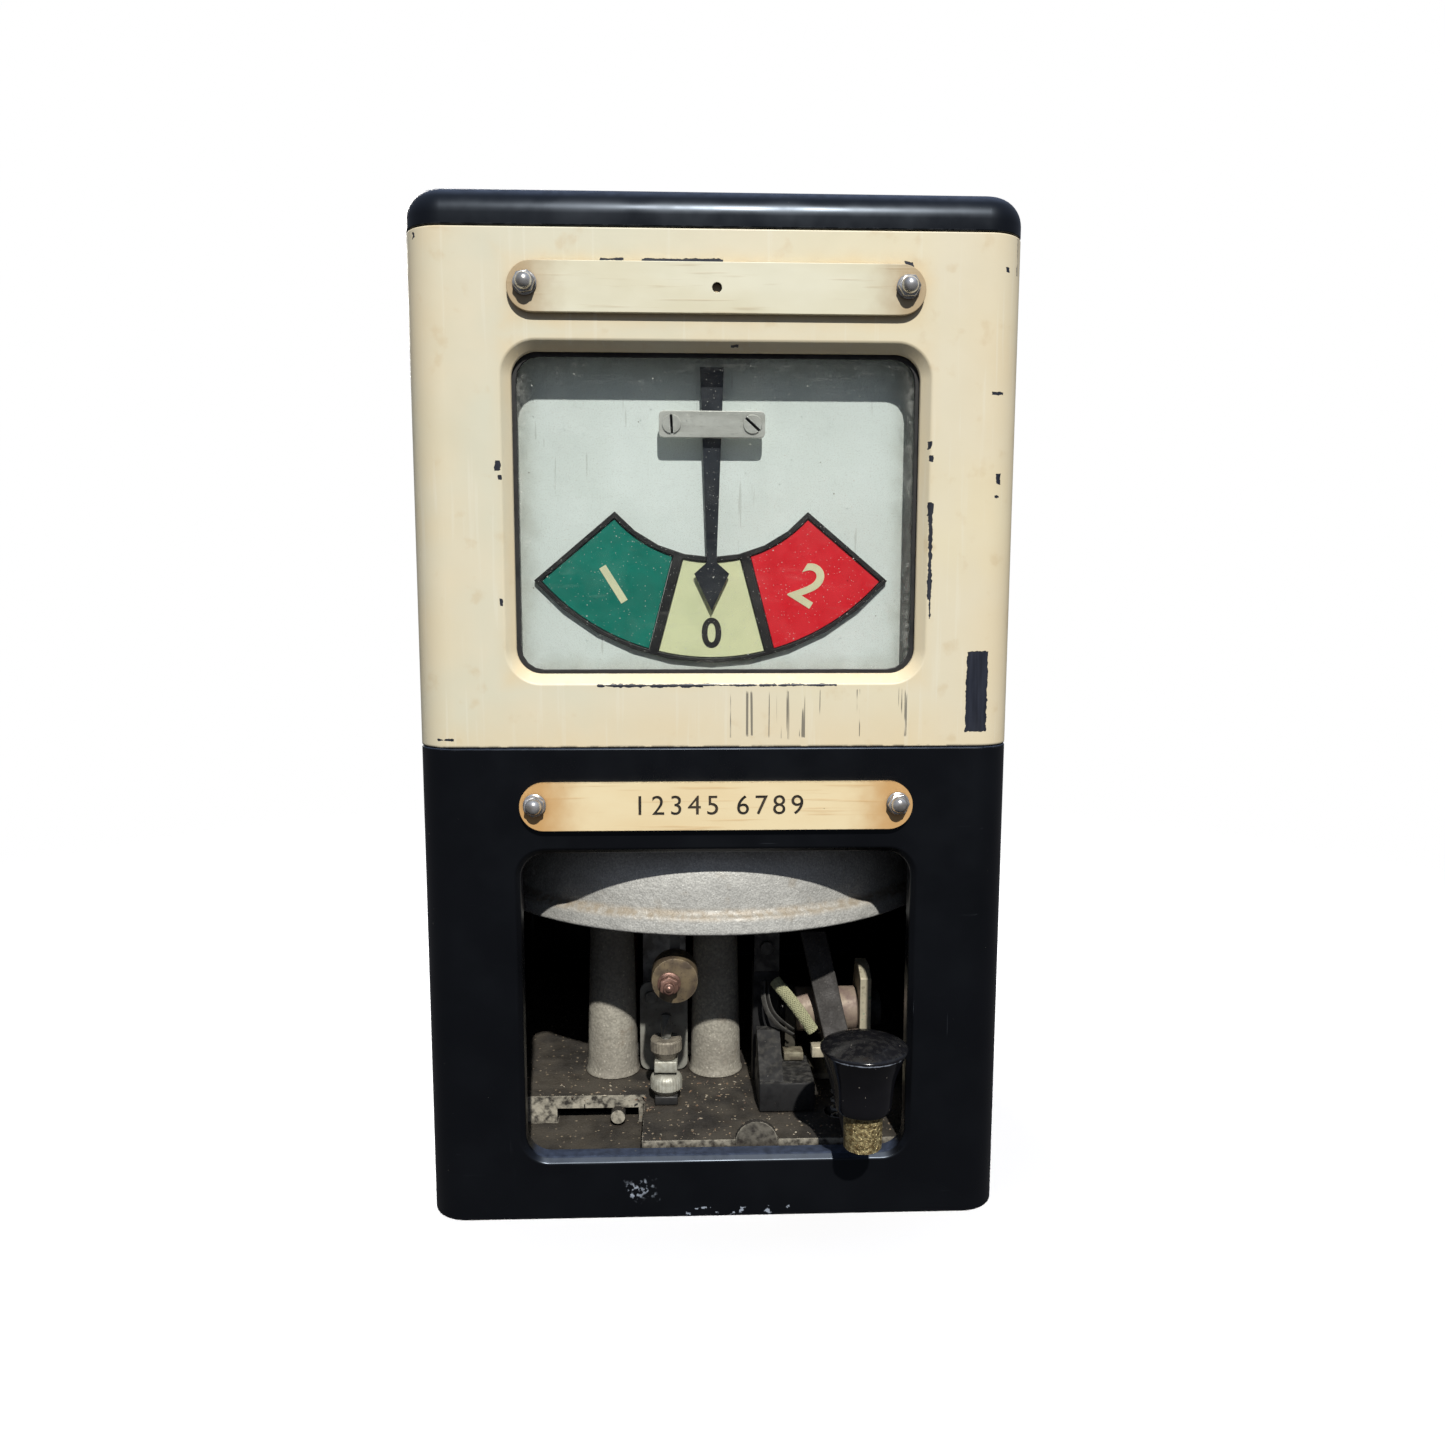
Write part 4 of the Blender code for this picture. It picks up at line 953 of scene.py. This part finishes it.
def make_dial():
    """Figures on the three sectors, and the slotted screws of the bearing bridge."""
    pivot = middle("needle_spindle")
    front = span("sector_green")[0].y
    radius = (SECTOR_INNER + SECTOR_OUTER) / 2
    for name, figure, angle, look in (
        ("numeral_one", "1", -32.0, "numeral_cream"),
        ("numeral_two", "2", 32.0, "numeral_cream"),
        ("numeral_zero", "0", 0.0, "sector_black"),
    ):
        reach = radius + (9.0 if angle == 0 else 1.5)
        size = 15.0 if angle == 0 else 21.0
        x = pivot.x + reach * math.sin(math.radians(angle))
        z = pivot.z - reach * math.cos(math.radians(angle))
        figure = numerals(name, figure, size, (x, front - 0.05, z), angle, 0.12, 0.35)
        place(figure, "case", look, slot="sector_black" if angle == 0 else "sector_cream")
    for side, turn in (("left", 3.0), ("right", 48.0)):
        node = "bridge_screw_" + side
        low, high, centre = extent(node)
        head = lathe("head", [(0, 0.3), (3.2, 0.3), (3.4, 0.5), (3.4, 1.2), (0, 1.2)], centre, "Y", 48)
        across = Vector((math.cos(math.radians(turn)), math.sin(math.radians(turn))))
        along = across.orthogonal()
        screw = Vector((centre.x, centre.z))
        corners = [screw + across * a + along * b for a, b in ((-0.5, -4), (0.5, -4), (0.5, 4), (-0.5, 4))]
        head = carve(head, prism("slot", corners, low.y - 1, low.y + 1.5))
        head.name = node + "_head"
        place(head, "case", "bridge_nickel", node, edge=0.12)


# ---------------------------------------------------------------- the bell and its works


def make_gong():
    """A deep bowl hung mouth down, with a rolled lip below a shallow groove."""
    low, _, centre = extent("gong")
    outer = [
        (4.8, 61), (18, 61), (40, 59.6), (60, 56), (76, 50), (88, 41.5), (94.5, 33), (97.8, 24),
        (98.6, 17),
        (98.4, 10.8), (98.5, 8.9), (99.3, 7.5), (100.6, 6.7), (101.2, 5.6), (101.3, 3.5), (101.2, 0.8),
        (100.5, 0),
    ]
    inner = [
        (94.2, 0), (93.2, 0.8), (92.6, 3), (93.4, 9), (93.8, 17), (93, 24), (89.8, 31.5), (83.6, 38.6),
        (73, 45.6), (58.4, 51.6), (39, 55.4), (18, 57), (4.8, 57),
    ]
    profile = flowing(outer, 5) + flowing(inner, 4)
    place(lathe("gong_bell", profile, (0, centre.y, low.z), "Z", 180), "case", "bell_metal", "gong")


def make_pillars():
    for side in ("left", "right"):
        low, high, centre = extent("pillar_" + side)
        tall = high.z - low.z
        profile = [(0, tall), (8.4, tall), (9.0, tall - 0.4), (9.3, tall - 1.2), (10.2, tall / 2),
                   (10.9, 6), (11.1, 2.6), (11.4, 1.2), (11.8, 0.5), (11.8, 0), (0, 0)]
        place(lathe(f"pillar_{side}_cast", profile, (centre.x, centre.y, low.z), "Z", 80), "case",
              "casting", "pillar_" + side)


def make_coils():
    """Wound spools: turns of covered wire between two fibre cheeks."""
    for node in ("bell_coil_left", "bell_coil_right", "indicator_coil_left", "indicator_coil_right"):
        low, high, centre = extent(node)
        outer = (high.x - low.x) / 2
        top = high.z - (4.0 if node.startswith("bell") else 0.0)
        cheek, wound = 2.4, outer - 1.0
        turns = []
        height = low.z + cheek
        while height < top - cheek - 0.8:
            ridge = ((-0.25, 0.0), (0.0, 0.2), (0.0, 0.6), (-0.25, 0.8))
            turns += [(wound + out, height + up) for out, up in ridge]
            height += 0.8
        winding = lathe(node + "_winding", [(0, low.z + cheek), *turns, (0, height)],
                        (centre.x, centre.y, 0), "Z", 56)
        place(winding, "case", "copper", node)
        discs = []
        for start in (low.z, top - cheek):
            disc = [(0, start), (outer - 0.3, start), (outer, start + 0.3), (outer, start + cheek - 0.3),
                    (outer - 0.3, start + cheek), (0, start + cheek)]
            discs.append(lathe("disc", disc, (centre.x, centre.y, 0), "Z", 56))
        if top < high.z:
            discs.append(lathe("core",
                               [(0, top), (4.6, top), (4.6, high.z - 0.4), (4.2, high.z), (0, high.z)],
                               (centre.x, centre.y, 0), "Z", 40))
        place(weld(node + "_cheeks", *discs), "case", "plain_steel", slot="copper")


def make_hammer():
    low, high, centre = extent("hammer_head")
    half = (high.y - low.y) / 2
    radius = (high.x - low.x) / 2
    profile = [(0, -half), (radius - 0.9, -half), (radius - 0.25, -half + 0.2), (radius, -half + 0.9),
               (radius, half - 0.9), (radius - 0.6, half), (0, half)]
    head = lathe("head", profile, centre, "Y", 96)
    bolt_low, bolt_high, bolt = extent("hammer_bolt")
    long = bolt_high.y - bolt_low.y
    bore = lathe("bore", [(0, -20), (2.4, -20), (2.4, 20), (0, 20)], (bolt.x, centre.y, bolt.z), "Y", 32)
    head = carve(head, bore)
    head.name = "hammer_head_turned"
    place(soften(head, 0), "hammer", "hammer_brass", "hammer_head")
    shank = lathe("shank", [(0, 0), (1.1, 0), (1.2, 0.5), (1.7, 0.1), (2.1, 0.6), (2.1, long), (0, long)],
                  (bolt.x, bolt_low.y, bolt.z), "Y", 40)
    nut = prism("nut", polygon(6, 4.0, (bolt.x, bolt.z), 30), low.y - 4.0, low.y - 0.8)
    washer = lathe("washer", [(0, -0.8), (4.2, -0.8), (4.5, -0.5), (4.5, -0.05), (0, -0.05)],
                   (bolt.x, low.y, bolt.z), "Y", 40)
    place(weld("hammer_bolt_turned", shank, soften(nut, 0.45, 3), washer), "hammer", "bolt_copper",
          "hammer_bolt", slot="copper")


def ridged(profile, place_at, ridges, depth):
    """A turned nut whose rim carries fine upright ridges."""
    nut = lathe("ridged", profile, place_at, "Z", ridges * 4)
    axis = at(*place_at)
    rim = max(radius for radius, _ in profile) * MM
    for vertex in nut.data.vertices:
        offset = Vector((vertex.co.x - axis.x, vertex.co.y - axis.y))
        if offset.length > rim * 0.93:
            wave = 0.5 + 0.5 * math.cos(ridges * math.atan2(offset.y, offset.x))
            offset *= 1 - depth * MM * wave / offset.length
            vertex.co.x, vertex.co.y = axis.x + offset.x, axis.y + offset.y
    return nut


def make_terminal():
    """The screw terminal: bevelled nut, square lock nut, thumb nut and a stud with a flat at its top."""
    x, depth, _ = middle("terminal_bush")
    foot = span("terminal_bush")[1].z
    low, high = span("terminal_stud")
    stud = lathe("stud", [(0, foot), (2.1, foot), (2.1, high.z - 0.5), (1.7, high.z), (0, high.z)],
                 (x, depth, 0), "Z", 40)
    stud = carve(stud, block("flat", (x - 3, x + 3), (depth - 4, depth - 1.0), (high.z - 9.5, high.z + 1)))
    lower = ridged([(0, 9.0), (4.4, 9.0), (6.0, 7.6), (6.6, 6.4), (6.6, 2.6), (4.6, 0.2), (0, 0.2)],
                   (x, depth, foot), 30, 0.25)
    square = prism("square", polygon(4, 6.6, (x, depth), 42), foot + 10.2, foot + 15.0, "Z")
    place(weld("terminal_stud_stack", soften(stud, 0.2), lower, soften(square, 0.5, 3)), "case",
          "terminal_nickel", "terminal_stud", slot="plain_steel")
    upper = ridged([(2.2, 8.2), (5.9, 8.2), (6.5, 7.6), (6.5, 3.4), (4.4, 0.6), (4.2, 0), (2.2, 0)],
                   (x, depth, foot + 15.4), 30, 0.25)
    place(upper, "case", "dull_nut", "terminal_nut")
    upper.name = "terminal_nut_knurled"


# ---------------------------------------------------------------- the tapper key


def make_knob():
    low, high, centre = extent("tapper_knob")
    skirt = [(0, 0), (8.8, 0), (9.5, 0.4), (10.0, 1.2), (10.4, 3.0), (10.8, 7.9), (11.7, 13.3),
             (13.6, 18.7), (15.1, 21.9), (15.6, 22.8), (15.8, 23.5), (15.5, 24.2), (14.2, 24.9),
             (11.0, 26.2), (6.0, 27.5), (0, 28.0)]
    skirt = skirt[:2] + flowing(skirt[2:], 5)
    place(lathe("tapper_knob_turned", skirt, (centre.x, centre.y, low.z), "Z", 120), "tapper", "bakelite",
          "tapper_knob")
    low, high, centre = extent("knob_ferrule")
    tall = high.z - low.z
    rows = 48
    profile = [(0, 0), (5.8, 0)]
    rise = (tall - 0.4) / rows
    profile += [(6.9 + 0.3 * i / rows - (0.5 if i == 0 else 0), 0.4 + rise * i) for i in range(rows + 1)]
    ferrule = lathe("knob_ferrule_turned", [*profile, (0, tall)], (centre.x, centre.y, low.z), "Z", 150)
    dice = random.Random(7)
    axis = at(centre.x, centre.y, 0)
    for vertex in ferrule.data.vertices:
        offset = Vector((vertex.co.x - axis.x, vertex.co.y - axis.y))
        if offset.length > 6 * MM:
            offset *= 1 - dice.random() ** 2 * 0.28 * MM / offset.length
            vertex.co.x, vertex.co.y = axis.x + offset.x, axis.y + offset.y
    place(ferrule, "tapper", "ferrule_brass", "knob_ferrule")


def make_bush():
    low, high, centre = extent("tapper_bush")
    half = (high.x - low.x) / 2
    radius = (high.z - low.z) / 2
    profile = [(4.4, -half), (radius - 0.7, -half), (radius, -half + 0.7), (radius, half - 0.7),
               (radius - 0.7, half), (4.4, half)]
    place(lathe("tapper_bush_turned", profile, centre, "X", 80), "tapper", "bush_bronze", "tapper_bush",
          slot="brass")
    low, high = span("tapper_pin")
    length = high.x - low.x
    profile = [(0, length), (6.6, length), (7.3, length - 0.4), (7.5, length - 1.1), (7.5, length - 4.9),
               (4.1, length - 4.9), (4.1, 0.4), (3.7, 0), (0, 0)]
    pin = lathe("tapper_pin_turned", profile, (low.x, centre.y, centre.z), "X", 64)
    place(pin, "case", "dark_steel", "tapper_pin")


def frames_along(points):
    """Smooth points along a line with two directions square to it at each."""
    path = [Vector(p) for p in flowing(points, 10)]
    side = Vector((0, 1, 0))
    found = []
    for i, point in enumerate(path):
        ahead = (path[min(i + 1, len(path) - 1)] - path[max(i - 1, 0)]).normalized()
        side = (side - ahead * side.dot(ahead)).normalized()
        found.append((point, side, ahead.cross(side)))
    return found


def threads_object(name, lines, diameter, resolution):
    """Round threads along lines of points, as one mesh."""
    curve = bpy.data.curves.new(name, "CURVE")
    curve.dimensions = "3D"
    curve.bevel_resolution = resolution
    curve.bevel_depth = diameter / 2 * MM
    curve.use_fill_caps = True
    for line in lines:
        spline = curve.splines.new("POLY")
        spline.points.add(len(line) - 1)
        for made, point in zip(spline.points, line):
            made.co = (*at(*point), 1)
    return baked(add_object(name, curve))


def braided_lead():
    """The sleeve's threads, laid in two directions that pass over and under each other."""
    route = [(26.5, 55, 72.6), (28.5, 53, 70.4), (33, 51, 65.3), (37.5, 49.4, 59.5), (41.8, 48.6, 53.2)]
    stations = frames_along(route)
    threads, radius, turns = 14, 2.2, 1.7
    lines = []
    for way, k in ((way, k) for way in (-1, 1) for k in range(threads)):
        line = []
        for i, (point, side, other) in enumerate(stations):
            along = 2 * math.pi * turns * i / (len(stations) - 1)
            angle = 2 * math.pi * k / threads + way * along
            lift = radius + way * 0.14 * math.cos(threads * along)
            line.append(point + side * lift * math.cos(angle) + other * lift * math.sin(angle))
        lines.append(line)
    sleeve = threads_object("braided_lead_threads", lines, 0.66, 2)
    core = threads_object("braided_lead_core", [[point for point, _, _ in stations]], 4.1, 6)
    place(weld("braided_lead_sleeve", core, sleeve), "case", "braid", "braided_lead")


def ribbon(name, points, width, thick, lean):
    """A flat spring strip along a line, its width lying mostly along the lean direction."""
    rings = []
    for point, side, other in frames_along(points):
        ahead = side.cross(other).normalized()
        wide = (lean - ahead * lean.dot(ahead)).normalized()
        deep = ahead.cross(wide)
        rings.append([at(*(point + wide * width * a + deep * thick * b)) for a, b in
                      ((-0.5, -0.5), (0.5, -0.5), (0.5, 0.5), (-0.5, 0.5))])
    return loft(name, rings)


def contact_spring():
    """Two leaves of spring strip bent down from the terminal to the moving contact."""
    lean = Vector((0.75, -0.55, 0.35))
    outer = ribbon("leaf",
                   [(21.6, 57, 72), (21.4, 53.4, 66.5), (23.2, 50.6, 60.5), (27.6, 49, 55.4),
                    (33.6, 48.6, 51.4)], 2.3, 0.5, lean)
    inner = ribbon("leaf",
                   [(23.4, 58, 71.5), (23.4, 54.4, 66), (25.2, 52, 60.6), (29, 51, 56.6),
                    (33.8, 50.4, 53)], 1.8, 0.45, lean)
    place(weld("contact_spring_leaves", soften(outer, 0.12), soften(inner, 0.12)), "case", "dark_steel",
          "contact_spring")


# A flake's four corners and its peak, as shares of its length, width and height
FLAKE = ((-1, -0.4, 0), (0.8, -0.6, 0), (1, 0.5, 0), (-0.7, 0.6, 0), (0.1, 0.1, 0.8))


def loose_crumbs():
    """Flakes lying on the casting, sitting on its top or in its front recess."""
    dice = random.Random(11)
    shape = bmesh.new()
    ledge = span("pillar_left")[0].z - 0.3
    for _ in range(260):
        x, depth = dice.uniform(-70, 70), dice.uniform(11, 62)
        low = RECESS_FLOOR if x < RECESS_RIGHT and depth < RECESS_DEPTH else ledge
        if (x + 19.3) ** 2 + (depth - 44) ** 2 < 60 or (x > 15 and depth > 28 and x < 60):
            continue
        size = 0.2 + 0.55 * dice.random() ** 3
        longer = size * dice.uniform(1.0, 3.2)
        turn = dice.uniform(0, math.pi)
        c, s = math.cos(turn), math.sin(turn)
        corners = []
        for along, wide, tall in FLAKE:
            u, v = along * longer * dice.uniform(0.7, 1.2), wide * size * dice.uniform(0.7, 1.3)
            spot = at(x + u * c - v * s, depth + u * s + v * c, low + tall * size)
            corners.append(shape.verts.new(spot))
        shape.faces.new(corners[:4])
        for i in range(4):
            shape.faces.new((corners[i], corners[(i + 1) % 4], corners[4]))
    crumbs = mesh_object("loose_crumbs", shape)
    crumbs.data.materials.append(LOOKS["loose_dirt"])
    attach(crumbs, "case")


# ---------------------------------------------------------------- CAD nodes that stay


CARRIED = {
    "partition_shelf": ("shelf_steel", 0.3),
    "lower_rear_cover": ("black_case", 0.5),
    "upper_rear_cover": ("black_case", 0.5),
    "window_gasket": ("rubber", 0.3),
    "window_glass": ("glass", 0.0),
    "glass_retainer": ("plain_steel", 0.2),
    "dial_plate": ("dial_white", 0.0),
    "sector_frame": ("sector_black", 0.25),
    "sector_green": ("sector_green", 0.15),
    "sector_centre": ("sector_cream", 0.15),
    "sector_red": ("sector_red", 0.15),
    "needle": ("needle_black", 0.15),
    "needle_spindle": ("brass", 0.1),
    "bearing_bridge": ("bridge_nickel", 0.35),
    "movement_frame": ("brass", 0.4),
    "base_casting": ("floor_casting", 0.7),
    "hammer_bridge": ("casting", 0.5),
    "hammer_pin": ("plain_steel", 0.2),
    "frame_plate": ("frame_steel", 0.3),
    "magnet_yoke": ("plain_steel", 0.4),
    "hammer_arm": ("frame_steel", 0.3),
    "bell_armature": ("plain_steel", 0.3),
    "gong_bolt": ("plain_steel", 0.3),
    "terminal_bush": ("rubber", 0.3),
    "tapper_lever": ("tapper_iron", 0.7),
    "tapper_bracket": ("cheek_brass", 0.5),
    "tapper_spring": ("plain_steel", 0.0),
    "contact_block": ("block_bakelite", 0.6),
    "contact_leaf": ("grimy_brass", 0.25),
    "contact_point": ("cream_brass", 0.35),
    "terminal_post": ("block_bakelite", 0.5),
    # The terminal tab is nickel, given dark steel as painted shade.
    "terminal_tab": ("dark_steel", 0.2),
}


def dress_frame():
    for node, (look, edge) in CARRIED.items():
        kept = NODES[node]
        for holder in kept.material_slots:
            holder.link = "OBJECT"
            holder.material = LOOKS[look]
        soften(kept, edge)


# ---------------------------------------------------------------- stage, lights and camera


def make_stage():
    shape = bmesh.new()
    corners = ((-1, -1), (1, -1), (1, 1), (-1, 1))
    shape.faces.new([shape.verts.new((x, y, 0)) for x, y in corners])
    floor = mesh_object("studio_floor", shape)
    look = Look("studio_floor", 0.8, specular=0.1)
    look.tone = look.mix(look.grain(900.0), (0.92, 0.92, 0.92), (0.95, 0.95, 0.95))
    look.finish()
    reach = look.node("ShaderNodeVectorMath", operation="LENGTH")
    look.feed(reach.inputs[0], look.point)
    clear = look.node("ShaderNodeBsdfTransparent")
    fade = look.node("ShaderNodeMixShader")
    look.feed(fade.inputs[0], look.spread(reach.outputs["Value"], 0.25, 0.75))
    look.feed(fade.inputs[1], look.shader.outputs[0])
    look.feed(fade.inputs[2], clear.outputs[0])
    look.show(fade)
    floor.data.materials.append(look.material)
    floor.visible_glossy = False
    floor.visible_diffuse = False


def make_sky():
    """White to the camera, and a dim cool dome for everything else."""
    world = bpy.data.worlds.new("studio")
    world.use_nodes = True
    bpy.context.scene.world = world
    tree = world.node_tree
    tree.nodes.clear()
    place_of = tree.nodes.new("ShaderNodeTexCoord")
    split = tree.nodes.new("ShaderNodeSeparateXYZ")
    height = tree.nodes.new("ShaderNodeMapRange")
    height.inputs["From Min"].default_value = -1.0
    tint = tree.nodes.new("ShaderNodeValToRGB")
    stops = tint.color_ramp.elements
    stops[0].color = (0.05, 0.05, 0.05, 1.0)
    stops[1].color = (0.27, 0.34, 0.48, 1.0)
    level = stops.new(0.5)
    level.color = (0.1, 0.1, 0.11, 1.0)
    dome = tree.nodes.new("ShaderNodeBackground")
    white = tree.nodes.new("ShaderNodeBackground")
    white.inputs["Color"].default_value = (1.0, 1.0, 1.0, 1.0)
    seen = tree.nodes.new("ShaderNodeLightPath")
    choose = tree.nodes.new("ShaderNodeMixShader")
    out = tree.nodes.new("ShaderNodeOutputWorld")
    for source, target in (
        (place_of.outputs["Generated"], split.inputs[0]),
        (split.outputs["Z"], height.inputs["Value"]),
        (height.outputs["Result"], tint.inputs["Fac"]),
        (tint.outputs["Color"], dome.inputs["Color"]),
        (seen.outputs["Is Camera Ray"], choose.inputs[0]),
        (dome.outputs[0], choose.inputs[1]),
        (white.outputs[0], choose.inputs[2]),
        (choose.outputs[0], out.inputs["Surface"]),
    ):
        tree.links.new(source, target)


def add_lamp(name, kind, energy, spot, aim):
    """A warm white lamp at a spot, shining towards its aim."""
    light = bpy.data.lights.new(name, kind)
    light.energy = energy
    light.color = WHITE_LIGHT
    lamp = add_object(name, light)
    lamp.location = spot
    lamp.rotation_euler = (Vector(aim) - Vector(spot)).to_track_quat("-Z", "Y").to_euler()
    return light


def make_lights():
    """A far key high in front and a little to the right, and a soft light from behind."""
    level = math.cos(KEY_RISE)
    away = Vector((level * math.sin(KEY_TURN), -level * math.cos(KEY_TURN), math.sin(KEY_RISE)))
    key = add_lamp("key", "SUN", 4.15, away * 2, (0.0, 0.0, 0.0))
    key.angle = math.radians(1.0)
    back = add_lamp("back", "AREA", 60.0, (-0.9, 2.2, 1.3), (0.0, 0.0, 0.15))
    back.shape = "DISK"
    back.size = 1.2


def make_camera():
    """The photograph's viewpoint: a little above the middle and turned slightly to the right."""
    camera = bpy.data.cameras.new("camera")
    camera.sensor_width = 36.0
    camera.lens = 28.83
    camera.clip_start = 0.01
    viewer = add_object("camera", camera)
    pitch, yaw, roll = 0.1269, 0.0388, 0.0016
    viewer.matrix_world = (
        Matrix.Translation(at(-14.03, -412.39, 241.8))
        @ Matrix.Rotation(-yaw, 4, "Z")
        @ Matrix.Rotation(math.pi / 2 - pitch, 4, "X")
        @ Matrix.Rotation(roll, 4, "Z")
    )
    bpy.context.scene.camera = viewer


bpy.context.scene.view_settings.view_transform = "Standard"
for make in (
    make_camera, make_sky, make_lights, make_stage,
    make_case, make_dial, make_gong, make_pillars, make_coils, make_hammer, make_terminal,
    make_knob, make_bush, braided_lead, contact_spring, loose_crumbs, dress_frame,
):
    make()
